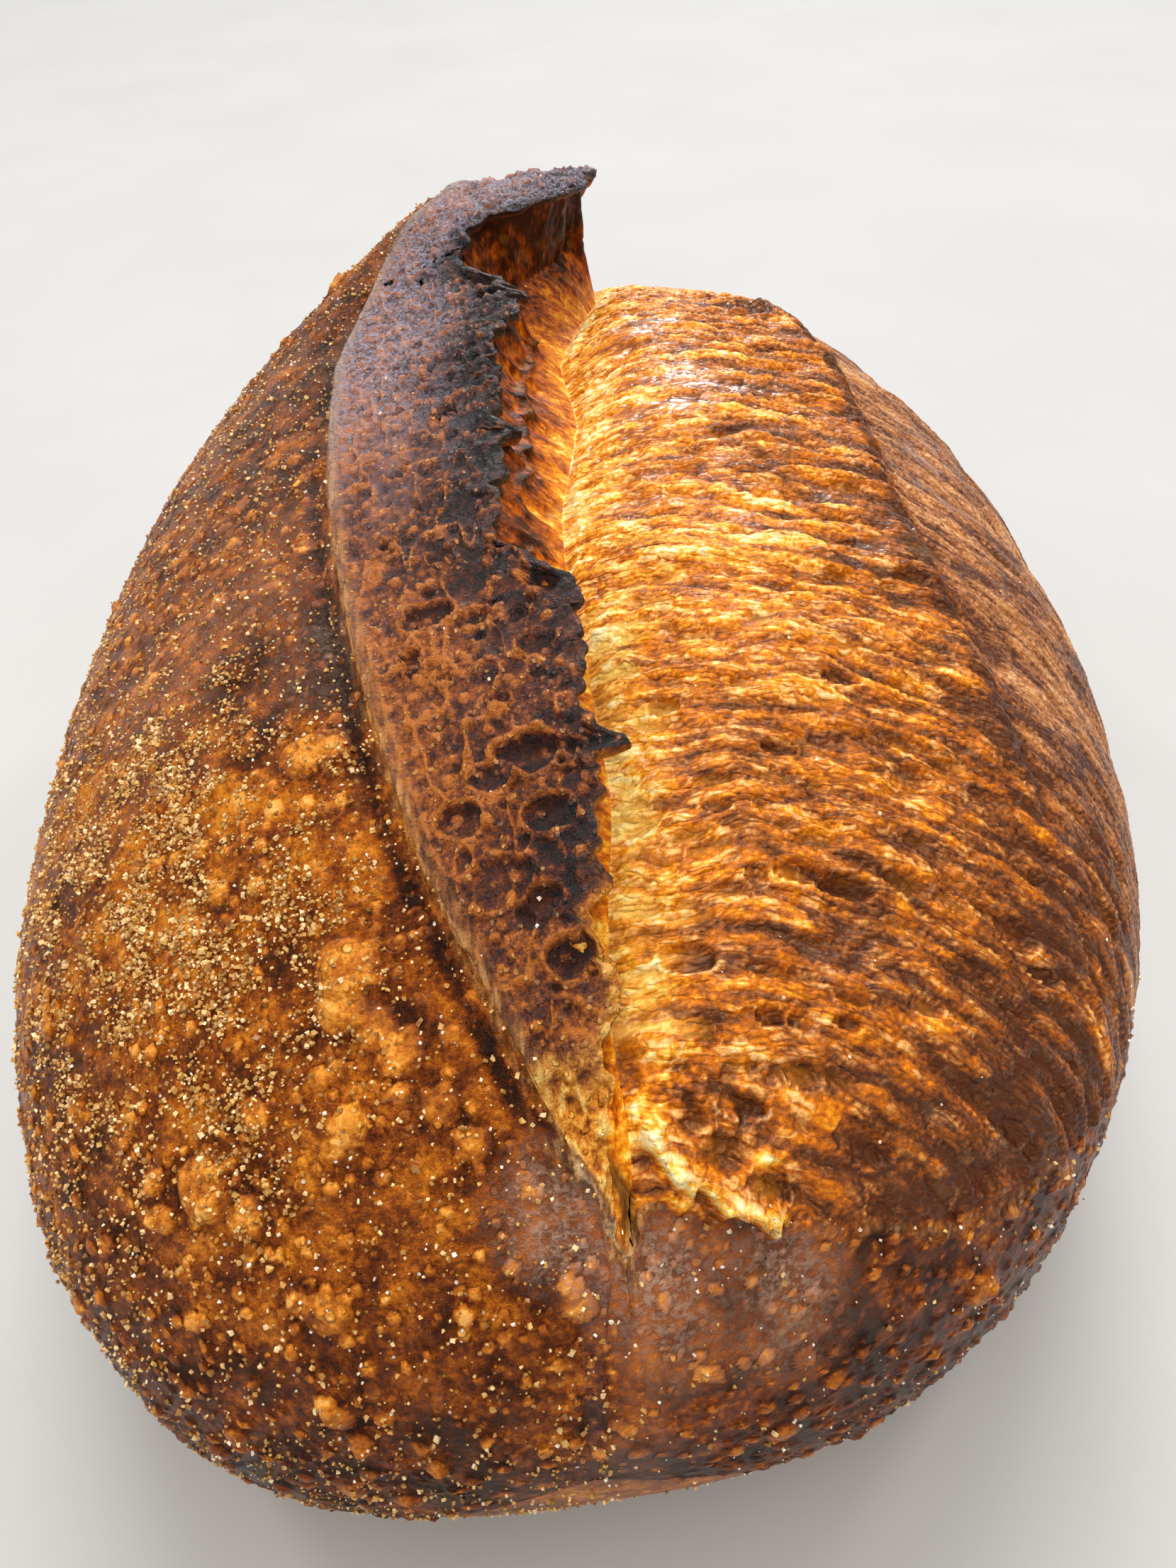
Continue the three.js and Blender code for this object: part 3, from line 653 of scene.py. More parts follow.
# In the wall's toast, the terms for the top of the wall under the lip and under the hood paint it
# nearly black: painted shade.
torn_here(WALL, cut_open[:, WALL], height,
          toast=0.58 + 0.18 * strings + 0.14 * sheets + 0.3 * ease(s, 0.14, 0.0) * ease(y, -90, -60)
          - 0.36 * ease(s, 0.55, 1.0) + 0.2 * ledge - 0.34 * ease(y, -88, -104)
          + 0.5 * ease(y, 58, 70) * ease(s, 0.5, 0.1),
          hollow=np.clip(burst / 1.2, 0, 1) * 0.6, fibre=ease(s, 0.1, 0.4))

# ------------------------------------------------------------------ what the oven did: the belly
# The inside of the dough, pushed up and out. Its gluten stretched into strands that run across
# the loaf. Flattened bubbles lie between them, closed by thin films or burst open with pale rims.

OPEN_CELLS = (                 # x, y, half length, half width
    (5.2, -89.8, 3.4, 1.7), (14.1, -82.1, 1.5, 1.2), (18.2, -81.9, 2.6, 1.2),
    (5.4, -107.0, 3.0, 1.5), (9.5, -109.9, 2.6, 1.4), (20.1, -106.5, 3.2, 1.8),
    (7.9, -103.6, 2.6, 1.1), (2.2, -73.8, 1.9, 1.5), (23.5, -83.7, 3.2, 1.3),
    (11.1, -73.7, 1.8, 0.9), (19.8, -67.2, 2.2, 1.0), (29.1, -57.5, 2.6, 1.1),
    (7.9, -59.2, 2.0, 1.0), (46.3, -89.8, 2.2, 0.8), (43.5, -86.4, 2.8, 1.6),
    (37.7, -104.0, 2.4, 1.0), (30.0, -95.0, 2.2, 1.0), (12.5, -96.5, 1.6, 0.9),
    (15.8, -97.0, 1.7, 0.9), (20.5, -97.2, 1.8, 0.8), (15.0, -101.5, 2.0, 1.1),
    (35.0, -70.0, 2.8, 1.2),
)
BURST_CELLS = (3, 13)          # the ones burst deepest, counted from 0
STRAND_SLOPE = 0.10            # how the strands bend away from straight across
STRAND_BEND = 0.0022
PILLOW_SIZE = (12, 4.3)        # along a strand and across it: of puffed lanes,
POD_SIZE = (5.4, 1.9)          # of the bubbles between strands,
FLECK_SIZE = (2.5, 0.95)       # and of scales
SHINGLE_PITCH = 5.2
CRACK_WIDTH = 0.7
CRACK_LINE = ((-120, -5.0), (-115.5, -4.9), (-112, -4.6), (-110, -4.6), (-108.5, -5.2),
              (-104, -6.5))
CRACK_DEPTH = ((-113.8, 0), (-112.8, 1.1), (-110.8, 2.1), (-108.6, 1.3), (-105.5, 0))
FLAP_LINE = ((-8, -103.5), (-3.1, -105.4), (1.1, -108.2), (8, -111.6), (10.5, -112.8),
             (16, -113.4))
SKIN_EDGE_SHARE = ((-113.6, 0.99), (-113, 0.93), (-112, 0.8), (-109, 0.62), (-103, 0.46),
                   (-93, 0.286), (-80, 0.224), (-60, 0.158), (0, 0.13), (40, 0.2), (70, 0.53),
                   (85, 0.785), (95, 0.93), (105, 0.97))

p = dough[:, BELLY]
x, y, z = (p[..., axis] for axis in range(3))
run = np.linalg.norm(np.diff(p, axis=1, prepend=p[:, :1]), axis=-1)
across = np.cumsum(run, axis=1)                        # mm from the valley, over the surface
drift = 1.8 * rough(p, 16, 50, 2) + 0.5 * rough(p, 5, 51, 2)
bent = across * (STRAND_SLOPE + STRAND_BEND * across)
lane = y + bent + drift                                # constant along one strand
upper = ease(y, -66, -10)

pillow, _ = cells(across / PILLOW_SIZE[0], lane / PILLOW_SIZE[1], 52)
pod, pod_luck = cells(across / POD_SIZE[0] + 0.3 * rough(p, 4, 53, 2), lane / POD_SIZE[1], 54)
fleck, fleck_luck = cells(across / FLECK_SIZE[0], lane / FLECK_SIZE[1], 56)
strings = 1 - 2 * np.abs(noise(across / 9, lane / 2.1, 57.5))
shingle = lane / SHINGLE_PITCH + 0.8 * noise(across / 15, lane / 9, 58.5)
shingle = shingle - np.floor(shingle)
shingle_rise = np.where(shingle < 0.78, (shingle / 0.78) ** 1.5, (1 - shingle) / 0.22)
open_pod = pod_luck < 0.3
sunk = open_pod * ease(pod, 0.12, 0.4)
height = (0.55 * ease(pillow, 0, 0.5) + 0.30 * ease(pod, 0, 0.35) - 0.75 * sunk
          + 0.16 * ease(fleck, 0, 0.4) + 0.30 * strings
          + 1.0 * shingle_rise * upper * ease(across, 12, 30) * ease(across, 66, 50))
open_cell = np.zeros(p.shape[:2])
pale_and_lit_rims = 0.6 * open_pod * bell(pod - 0.06, 0.07)
wave = noise(across / 14, lane / 2.8, 77.5)
# Each open cell is painted darker inside, less so on its near side, and its rim is painted paler on
# the near side: painted light and shade.
for number, (cell_x, cell_y, half_length, half_width) in enumerate(OPEN_CELLS):
    turn_x = (x - cell_x) - 0.12 * (y - cell_y)
    turn_y = (y - cell_y) + 0.16 * (x - cell_x)
    d = np.hypot(turn_x / half_length, turn_y / half_width) + 0.3 * rough(p, 2.4, 59, 3)
    cup = np.clip(1 - d ** 2, 0, 1)
    near_side = ease(turn_y / half_width, 0.7, -0.5)
    pale_and_lit_rim = bell(d - 1.08, 0.10) * (0.25 + 0.75 * near_side) * (0.45 + 0.55 * dice(number, 3, 9))
    height = lerp(height, -0.8 + 0.7 * strings, cup ** 0.4) * (1 - 0.6 * pale_and_lit_rim) + 0.6 * pale_and_lit_rim
    darkness = 0.8 if number in BURST_CELLS else 0.5
    open_cell = np.maximum(open_cell, cup * (darkness - 0.3 * near_side))
    pale_and_lit_rims = np.maximum(pale_and_lit_rims, pale_and_lit_rim)

# The right skin edge: inside it the dough is torn, outside it the skin is whole.
share_up = np.clip(track(SKIN_EDGE_SHARE)(size.y), 0, 1) ** (SECTION_TOP / 2)
skin_edge_turn = 0.5 + np.arccos(share_up) / (2 * np.pi)
radius = np.linalg.norm(np.diff(p, axis=1, append=p[:, -1:]), axis=-1)
radius = radius / np.maximum(np.gradient(belly_turn, axis=1), 1e-6)
bend = np.gradient(skin_edge_turn[:, 0], size.y[:, 0])[:, None]
to_skin = (skin_edge_turn - belly_turn) * radius / np.sqrt(1 + (radius * bend) ** 2)
to_skin = np.minimum(to_skin + 0.5 * rough(p, 4, 60, 2), past_front[:, BELLY])
torn = ease(to_skin, *TORN_RIM) * (1 - ease(size.y, 90, 104))

# The front end of the tear: a flap of crumb stands up behind a short crack in the skin.
flap_run = y - track(FLAP_LINE)(x) - 1.0 * noise(x / 1.5, 3.5, 61.5) - 0.4 * noise(x / 0.6, 3, 62)
flap = bell(flap_run, np.where(flap_run < 0, 0.7, 2.8)) * ease(x, 13, 9)
height = height * (1 - 0.5 * flap) + 3.2 * flap * (1 + 0.35 * rough(p, 1.6, 62, 2))
flap_crest = bell(flap_run + 0.2, 0.5) * ease(x, 13, 9)
char_line = bell(from_tear + 0.9 * rough(p, 3, 63, 2), 1.3) * ease(tear_height, 0.2, 1.6)
char_line *= ease(noise(y / 4.2, 3.5, 70.5), -0.7, 0.4) * (0.6 + 0.4 * ease(y, 0, 40))
char_tips = patch(p, 43, 50, 5) * ease(y, 44, 48)
height += 1.3 * char_tips * (0.5 + np.abs(rough(p, 2.4, 64, 3, 0.7)) * 2.4)
height = height * (1 - 0.4 * char_line) - 0.7 * bell(from_tear - 2.0, 1.3) * (tear_height > 0.3)
past_tear = ease(from_tear, 1, 5)
calm = np.maximum(past_tear * ease(y, -84, -58), ease(across + 6 * rough(p, 14, 67), 64, 82))
height *= 1 - 0.6 * calm
near_edge = ease(past_front[:, BELLY], 12, 2) * ease(x, 12, 24)
# The valley bottom along the middle of the tear is painted darker and olive through the hollow
# mark: painted shade.
valley_shade = bell(across - 2, 6) * ease(y, -34, -52) * ease(y, -103, -95)
glaze = (1.3 * patch(p, 19, 11, 9) * ease(wave, -0.5, 0.3)
         + (0.2 + 0.8 * upper) * ease(wave, 0.0, 0.5) * ease(rough(p, 8, 78), -0.1, 0.3)
         * ease(across, 80, 50))
glaze *= ease(to_skin, 1, 5)
height *= 1 - 0.5 * np.clip(glaze, 0, 1)
blotches = ease(rough(p, 11, 65), -0.1, 0.5) * ease(across, 16, 40)
# In the belly's toast, the shingle term darkens the foot of each shingle step: painted shade.
torn_here(BELLY, torn, height * ease(across, 0.0, 2.5),
          toast=0.08 + 0.26 * ease(across, 1.5, 12) + 0.17 * ease(across, 12, 40)
          + 0.12 * ease(across, 34, 52) - 0.08 * past_tear + 0.13 * (fleck_luck - 0.5)
          + 0.18 * (pod_luck - 0.5) + 0.12 * blotches + 0.10 * ease(pod, 0.25, 0)
          + 0.08 * ease(pillow, 0.3, 0) + 0.14 * rough(p, 16, 66) + 0.07 * ease(y, -55, -85)
          - 0.2 * bell(y + 40, 28) * bell(across - 32, 16) + 0.05 * ease(y, 10, 50)
          + 0.22 * wave * (0.4 + 0.6 * upper) * ease(across, 6, 20) - 0.04 * upper
          + 0.16 * upper * ease(shingle_rise, 0.4, 0) * ease(across, 20, 34) * ease(across, 60, 50)
          + 0.5 * char_line + 0.6 * char_tips - 0.2 * pale_and_lit_rims + 0.24 * near_edge
          + 0.06 * valley_shade + 0.05 * ease(y, -44, -62) * bell(across - 15, 10),
          calm=calm, flour=glaze,
          hollow=np.clip(0.5 * sunk + open_cell + 0.7 * valley_shade, 0, 1),
          fibre=np.maximum(pale_and_lit_rims, flap_crest * (0.45 + 0.5 * noise(x / 0.8, y / 0.8, 79.5))))

# Where the tear ends, rind and crumb are torn together into one rough golden mass.
torn_side = slice(AT_RIDGE, AT_FLANK)
p = dough[:, torn_side]
torn_mass = (ease(p[..., 1], -94, -102) * ease(p[..., 0], 16, 9)
             * ease(past_front[:, torn_side], 0.0, 0.8))
rags = rough(p * np.array([1.0, 0.8, 1.0]), 3.0, 90, 4, 0.62)
relief[:, torn_side] += 1.5 * torn_mass * rags
marks["toast"][:, torn_side] = lerp(marks["toast"][:, torn_side], 0.42 - 0.6 * rags,
                                    0.8 * torn_mass)
marks["toast"][:, BELLY] -= 0.25 * flap_crest

# The skin beside the tear has a thin pale lip, turned up most at the crack, and the crack itself
# is deepest at its middle.
x, y = dough[..., 0], dough[..., 1]
from_crack = x - track(CRACK_LINE)(y) - 0.3 * noise(y / 1.1, 4.5, 67.5)
crack_depth = track(CRACK_DEPTH)(y) * bell(from_crack, CRACK_WIDTH)
curl = 0.8 * ease(x, 2, -5) * ease(x, -15, -9) + 0.2 + 0.3 * ease(x, 9, 16)
skin_lip = bell(past_front + 0.6, 0.6 + 0.3 * curl) * ease(dough[..., 2], 40, 50)
relief += 0.9 * curl * skin_lip * (past_front < 0.6) - crack_depth * (past_front > -1.2)
lip_fibre = np.where(past_front < 0, 0.15 + 0.7 * curl, 0) * skin_lip
marks["fibre"] = np.maximum(marks["fibre"], lip_fibre)
# The crack is painted dark by its depth: painted shade.
marks["hollow"] = np.maximum(marks["hollow"], np.clip(crack_depth, 0, 1))

# ------------------------------------------------------------ what the oven did: flank and base
# The right side is whole skin with a few long pores. The underside lay on the oven floor: flat,
# dusty and finely pitted.

PORES = (6.5, (0.5, 1.0), 0.3)
PORE_SQUASH = (1, 0.45, 1)
FLOOR_PITS = (4.0, (0.5, 1.4), 0.4)

side = slice(AT_FLANK - 60, AT_RIM)                    # with the belly's last columns
pores = bubbles(dough[:, side] * np.array(PORE_SQUASH), *PORES, 70)
relief[:, side] -= 0.8 * pores
# The pores are painted dark: painted shade.
marks["hollow"][:, side] = np.maximum(marks["hollow"][:, side], np.clip(pores, 0, 1))

p = dough[:, BASE]
floor_pits = bubbles(p, *FLOOR_PITS, 72)
relief[:, BASE] = 0.2 * rough(p, 8, 73) - 0.4 * floor_pits
marks["toast"][:, BASE] = 0.42 + 0.3 * rough(p, 24, 74) + 0.1 * rough(p, 4, 75)
marks["flour"][:, BASE] = 0.45 + 0.3 * rough(p, 12, 76)
# The floor pits are painted dark: painted shade.
marks["hollow"][:, BASE] = np.clip(floor_pits, 0, 1)


def spread(values, reach):
    """The mean over a window of 2 reach + 1 rows and columns round each point."""
    for axis in (0, 1):
        padded = np.concatenate([np.take(values, np.zeros(reach + 1, int), axis), values,
                                 np.take(values, np.full(reach, -1), axis)], axis)
        total = np.cumsum(padded, axis)
        window = 2 * reach + 1
        values = (np.take(total, np.arange(window, total.shape[axis]), axis)
                  - np.take(total, np.arange(total.shape[axis] - window), axis)) / window
    return values


# Points that stand out from the relief round them are painted lighter and low ones darker: painted
# light and shade.
CLOSE_BY, ROUND_ABOUT = 4, 12                          # in points of the grid
marks["proud"] = (0.5 + 0.5 * (relief - spread(relief, CLOSE_BY))
                  + 0.25 * (relief - spread(relief, ROUND_ABOUT)))

end_fade = ease(LENGTH / 2 - np.abs(size.y), 0.0, 0.6)
crust = dough + surface_normals(dough) * (relief * end_fade)[..., None]
crust[..., 2] = np.maximum(crust[..., 2], 0)
crust = (crust + origin_shift) * MM
crust_normal = surface_normals(crust)

# Where each point of the belly lies along and across its strands, in metres.
flow = np.zeros(dough.shape)
flow[:, BELLY, 0] = across * MM
flow[:, BELLY, 1] = lane * MM

# ------------------------------------------------------------------ skin: left, right and underside
# Baked wheat crust: gelatinised starch dried to a thin hard film over the crumb. To the eye it
# is satin, dark red-brown, with amber blisters and a thin grey haze of burnt flour. The blisters
# are painted lighter on their raised parts, a painted highlight, and pits and low spots darker,
# painted shade.

HEART = (0.0, 0.0, 45.0)
PIECE_ENDS = (-52, -4, 38, 51)  # where along the loaf one piece ends and the next begins
GRIT_SIZE = 0.9                # sizes of the patterns on the skin
CLOUD_SIZE = 5.5
SPECKLE_PITCHES = (3.6, 1.6)
MEAL_PITCH = 0.85
DUST_PITCH = 1.2
SKIN_BUMP = 0.55
WARM_SHINE = "#ffd2a0"
SKIN_BROWNS = ((0.0, "#cb7c1e"), (0.25, "#a05310"), (0.5, "#6c300c"), (0.75, "#3e190b"),
               (1.0, "#1e0d0b"))
BLISTER_AMBERS = ((0.0, "#e4aa5c"), (0.25, "#cc852c"), (0.55, "#a65c14"), (1.0, "#642c0c"))
MEAL_YELLOWS = ((0.0, "#83501c"), (0.5, "#b37c34"), (1.0, "#d6ae68"))
SKIN_FIBRES = ((0.38, "#38200f"), (0.5, "#7a5028"), (0.62, "#b88c58"))


def wedge(name, row_range, column_range, inner=HEART):
    """A patch of the surface grid, closed by straight walls from its border to a point inside
    the loaf. Normals come from the whole surface, so the seams between pieces don't show."""
    r0, r1 = row_range
    c0, c1 = column_range
    wrap = np.arange(c0, c1 + 1) % COLUMNS
    rows, cols = r1 - r0 + 1, len(wrap)
    index = np.arange(rows * cols).reshape(rows, cols)
    near_pole, far_pole, heart = rows * cols + np.arange(3)
    quads = np.stack([index[:-1, :-1], index[:-1, 1:], index[1:, 1:], index[1:, :-1]], -1)
    near, far = index[0], index[-1, ::-1]
    fans = []
    if r0 == 0:
        fans.append(np.stack([near[1:], near[:-1], np.full(cols - 1, near_pole)], -1))
        near = np.array([near[0], near_pole, near[-1]])
    if r1 == ROWS - 1:
        fans.append(np.stack([far[1:], far[:-1], np.full(cols - 1, far_pole)], -1))
        far = np.array([far[0], far_pole, far[-1]])
    border = np.concatenate([near[:-1], index[:-1, -1], far[:-1], index[:0:-1, 0]])
    fans.append(np.stack([np.roll(border, -1), border, np.full(len(border), heart)], -1))
    fans = np.concatenate(fans)
    used = np.zeros(rows * cols + 3, bool)
    used[quads.ravel()] = used[fans.ravel()] = True
    renumber = np.cumsum(used) - 1

    def on_points(values, at_ends):
        """The values at the patch's points and at its two poles and inner point, if used."""
        patch_values = values[r0:r1 + 1][:, wrap].reshape(-1, *values.shape[2:])
        return np.concatenate([patch_values, at_ends])[used]

    mesh = bpy.data.meshes.new(name)
    mesh.vertices.add(int(used.sum()))
    ends = [crust[0].mean(0), crust[-1].mean(0), np.array(inner) * MM]
    mesh.vertices.foreach_set("co", on_points(crust, ends).ravel())
    corners = np.concatenate([renumber[quads].ravel(), renumber[fans].ravel()])
    count = quads.size // 4
    starts = np.concatenate([4 * np.arange(count), 4 * count + 3 * np.arange(len(fans))])
    mesh.loops.add(len(corners))
    mesh.loops.foreach_set("vertex_index", corners.astype(np.int32))
    mesh.polygons.add(len(starts))
    mesh.polygons.foreach_set("loop_start", starts.astype(np.int32))
    mesh.update(calc_edges=True)
    mesh.validate()
    mesh.polygons.foreach_set("use_smooth", np.ones(len(mesh.polygons), bool))
    mesh.normals_split_custom_set_from_vertices(
        on_points(crust_normal, [[0, -1, 0], [0, 1, 0], [0, 0, 1]]))
    for mark, values in marks.items():
        values = on_points(np.clip(values, 0, 1), (0.5, 0.5, 0.5)).astype(np.float32)
        mesh.attributes.new(mark, "FLOAT", "POINT").data.foreach_set("value", values)
    if AT_VALLEY <= c0 < AT_FLANK:
        lanes = on_points(flow, np.zeros((3, 3))).astype(np.float32).ravel()
        mesh.attributes.new("flow", "FLOAT_VECTOR", "POINT").data.foreach_set("vector", lanes)
    return mesh


def place(name, mesh, material):
    """Puts a mesh in the scene as a piece of the loaf that rides on its body."""
    piece = bpy.data.objects.new(name, mesh)
    bpy.context.scene.collection.objects.link(piece)
    mesh.materials.append(material)
    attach(piece, "root")
    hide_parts("loaf")


def linear(hex_colour):
    """An sRGB hex colour as linear red, green, blue and alpha: c / 12.92 where it is dark, and
    ((c + 0.055) / 1.055)^2.4 elsewhere."""
    channels = [int(hex_colour[i:i + 2], 16) / 255 for i in (1, 3, 5)]
    return tuple(c / 12.92 if c <= 0.04045 else ((c + 0.055) / 1.055) ** 2.4
                 for c in channels) + (1.0,)


def add(tree, kind, *inputs, out=0, stops=(), **settings):
    """Adds a node with its settings and links. Inputs come in order, or by name in a dict: each
    is a value, an sRGB hex colour or another node's output. Gives back the output asked for, or
    the node itself if out is None."""
    node = tree.nodes.new("ShaderNode" + kind)
    for name, value in settings.items():
        setattr(node, name, value)
    named = inputs[0].items() if inputs and isinstance(inputs[0], dict) else enumerate(inputs)
    for key, value in named:
        if isinstance(value, bpy.types.NodeSocket):
            tree.links.new(value, node.inputs[key])
        else:
            node.inputs[key].default_value = linear(value) if isinstance(value, str) else value
    if stops:
        elements = node.color_ramp.elements
        elements.remove(elements[1])
        elements[0].position, elements[0].color = stops[0][0], linear(stops[0][1])
        for position, colour in stops[1:]:
            elements.new(position).color = linear(colour)
    return node if out is None else node.outputs[out]


def new_material(name):
    """An empty material, its node tree, and the place where its patterns are read."""
    material = bpy.data.materials.new(name)
    material.use_nodes = True
    tree = material.node_tree
    tree.nodes.clear()
    return material, tree, add(tree, "TexCoord", out="Object")


def finish(tree, shader_inputs):
    """Adds the shader, with its inputs by name, and the material's output."""
    add(tree, "OutputMaterial", add(tree, "BsdfPrincipled", shader_inputs), out=None)


def browned(tree, toast, patterns, offset):
    """toast + the sum of each pattern times its weight + offset, held between 0 and 1."""
    for pattern, weight in patterns:
        toast = add(tree, "Math", pattern, weight, toast, operation="MULTIPLY_ADD")
    return add(tree, "Math", toast, offset, operation="ADD", use_clamp=True)


def coated(tree, colour, *coats):
    """Lays colours over one another in turn, each with the share of it that shows."""
    for share, over in coats:
        colour = add(tree, "Mix", {0: share, 6: colour, 7: over}, data_type="RGBA", out=2)
    return colour


def limited(tree, share, *limits):
    """The share, times a ramp for each limit: a pattern's rise from one level to another, which
    goes from 0 to 1 or from a third number to a fourth."""
    for limit in limits:
        share = add(tree, "Math", share, add(tree, "MapRange", *limit), operation="MULTIPLY")
    return share


def wandering(tree, spot, size, reach):
    """The place, pushed about by noise of that size, up to half of that reach, both in mm."""
    drift = add(tree, "TexNoise", {"Vector": spot, "Scale": 1 / (size * MM), "Detail": 2.0},
                out="Color")
    return add(tree, "VectorMath", drift, (reach * MM,) * 3, spot, operation="MULTIPLY_ADD")


def spots(tree, where, pitch, chance, reach, soft):
    """Round spots, one to each cell of the given pitch in mm, where some cells stay empty. Gives
    how far inside a spot each point is, 0 to 1, and the spot's own random number."""
    cell = add(tree, "TexVoronoi", {"Vector": where, "Scale": 1 / (pitch * MM)}, out=None)
    luck = add(tree, "SeparateColor", cell.outputs["Color"], out=None)
    radius = add(tree, "MapRange", luck.outputs[0], 1 - chance, 1.0, 0.0, reach)
    inside = add(tree, "Math", radius, cell.outputs["Distance"], operation="SUBTRACT")
    shown = add(tree, "MapRange", inside, 0.0, soft, interpolation_type="SMOOTHSTEP")
    return shown, luck.outputs[1]


def torn_fibres(tree, spot, width, browns):
    """The colour of fibres that run along the loaf: noise drawn out along Y, of that width."""
    drawn_out = add(tree, "VectorMath", spot, (1.0, 0.12, 0.5), operation="MULTIPLY")
    strands = add(tree, "TexNoise", {"Vector": drawn_out, "Scale": 1 / (width * MM),
                                     "Detail": 3.0})
    return add(tree, "ValToRGB", strands, stops=browns)


def baked_skin(tree, spot):
    """Colour, bump height and roughness of whole skin: browned by the toast mark, clouds and
    grit, and painted lighter where the relief stands out and darker where it lies low, as painted
    shade; then amber blisters, lighter on their raised parts as a painted highlight, flour haze,
    meal, dust, pits and pores painted dark as painted shade, and torn fibres over that."""
    toast, blister, flour, crumbs, fibre, hollow, proud = (
        add(tree, "Attribute", out="Fac", attribute_name=name)
        for name in ("toast", "blister", "flour", "crumbs", "fibre", "hollow", "proud"))
    moved_spot = wandering(tree, spot, 2.4, 0.8)
    grit = add(tree, "TexNoise", {"Vector": spot, "Scale": 1 / (GRIT_SIZE * MM), "Detail": 4.0,
                                  "Roughness": 0.72})
    cloud = add(tree, "TexNoise", {"Vector": spot, "Scale": 1 / (CLOUD_SIZE * MM), "Detail": 5.0,
                                   "Roughness": 0.65})
    crowd = add(tree, "MapRange", cloud, 0.38, 0.54, 0.3, 1.0, interpolation_type="SMOOTHSTEP")
    wide, _ = spots(tree, moved_spot, SPECKLE_PITCHES[0], 0.7, 0.44, 0.2)
    small, small_luck = spots(tree, moved_spot, SPECKLE_PITCHES[1], 0.8, 0.46, 0.2)
    swarm = add(tree, "Math", wide, small, operation="MAXIMUM")
    swarm = add(tree, "Math", swarm, crowd, operation="MULTIPLY")
    rough_blister = add(tree, "Math", grit, 0.5, blister, operation="MULTIPLY_ADD")
    lift = add(tree, "Math", swarm, rough_blister, operation="ADD")

    # Raised points are painted lighter and low ones darker: painted shade.
    browning = browned(tree, toast, ((cloud, 2.0), (grit, 1.3), (proud, -0.6)), -1.38)
    # The blisters' amber is lighter where they stand up: partly their own paler crust, partly a
    # painted highlight.
    amber_and_highlight = browned(tree, browning, ((small_luck, 0.3), (grit, 0.6), (lift, -0.45)), 0.3)
    on_blister = add(tree, "MapRange", lift, 0.34, 0.8, 0.0, 0.9)
    haze = add(tree, "MapRange", grit, 0.43, 0.6, 0.15, 1.0)
    haze = limited(tree, haze, (flour, 0.15, 1.0, 0.0, 0.75))
    meal, meal_luck = spots(tree, moved_spot, MEAL_PITCH, 0.85, 0.48, 0.2)
    meal = limited(tree, meal, (crumbs, 0.12, 0.7))
    dust, _ = spots(tree, spot, DUST_PITCH, 0.16, 0.24, 0.06)
    colour = coated(
        tree, add(tree, "ValToRGB", browning, stops=SKIN_BROWNS),
        (on_blister, add(tree, "ValToRGB", amber_and_highlight, stops=BLISTER_AMBERS)),
        (haze, "#c9a189"),
        (meal, add(tree, "ValToRGB", meal_luck, stops=MEAL_YELLOWS)),
        (add(tree, "Math", dust, 0.85, operation="MULTIPLY"), "#eadfce"),
        # Pits, pores and cracks are painted near black: painted shade.
        (add(tree, "MapRange", hollow, 0.2, 1.0, 0.0, 0.85), "#26100a"),
        (add(tree, "MapRange", fibre, 0.25, 0.8, 0.0, 0.85),
         torn_fibres(tree, spot, 0.6, SKIN_FIBRES)),
        (add(tree, "MapRange", fibre, 0.8, 1.0, 0.0, 0.85), "#f0dab4"))

    height = add(tree, "Math", grit, add(tree, "MapRange", on_blister, 0.0, 0.9, 2.2, 0.8), swarm,
                 operation="MULTIPLY_ADD")
    height = add(tree, "Math", meal, 0.8, height, operation="MULTIPLY_ADD")
    height = add(tree, "Math", dust, 0.5, height, operation="MULTIPLY_ADD")
    dull = add(tree, "Math", haze, meal, operation="MAXIMUM")
    return colour, height, add(tree, "MapRange", dull, 0.0, 0.5, 0.24, 0.72)


skin_material, tree, spot = new_material("baked_wheat_crust")
colour, height, gloss = baked_skin(tree, spot)
bump = add(tree, "Bump", {"Strength": 1.0, "Distance": SKIN_BUMP * MM, "Height": height})
finish(tree, {"Base Color": colour, "Roughness": gloss, "Normal": bump,
              "Specular IOR Level": 0.25, "Specular Tint": WARM_SHINE})

LAST_ROW = ROWS - 1
near_third, middle_row, far_third, hood_row = (
    int(np.searchsorted(size.y[:, 0], end)) for end in PIECE_ENDS)
for name, rows, columns in (("skin_left_near", (0, middle_row), (0, AT_RIDGE)),
                            ("skin_left_far", (middle_row, LAST_ROW), (0, AT_RIDGE)),
                            ("skin_right", (0, LAST_ROW), (AT_FLANK, AT_RIM)),
                            ("underside", (0, LAST_ROW), (AT_RIM, COLUMNS))):
    place(name, wedge(name, rows, columns), skin_material)

# ------------------------------------------------------------------ ear
# Cut dough dried to a rind and scorched. To the eye it is porous and faintly glossy: tan knobs on
# red-brown, charcoal towards the torn edge, and a bluish grey sheen towards the ridge and over the
# hood. That sheen is a painted reflection, the knobs are painted lighter where they stand out, and
# the pits darker: painted light and shade.

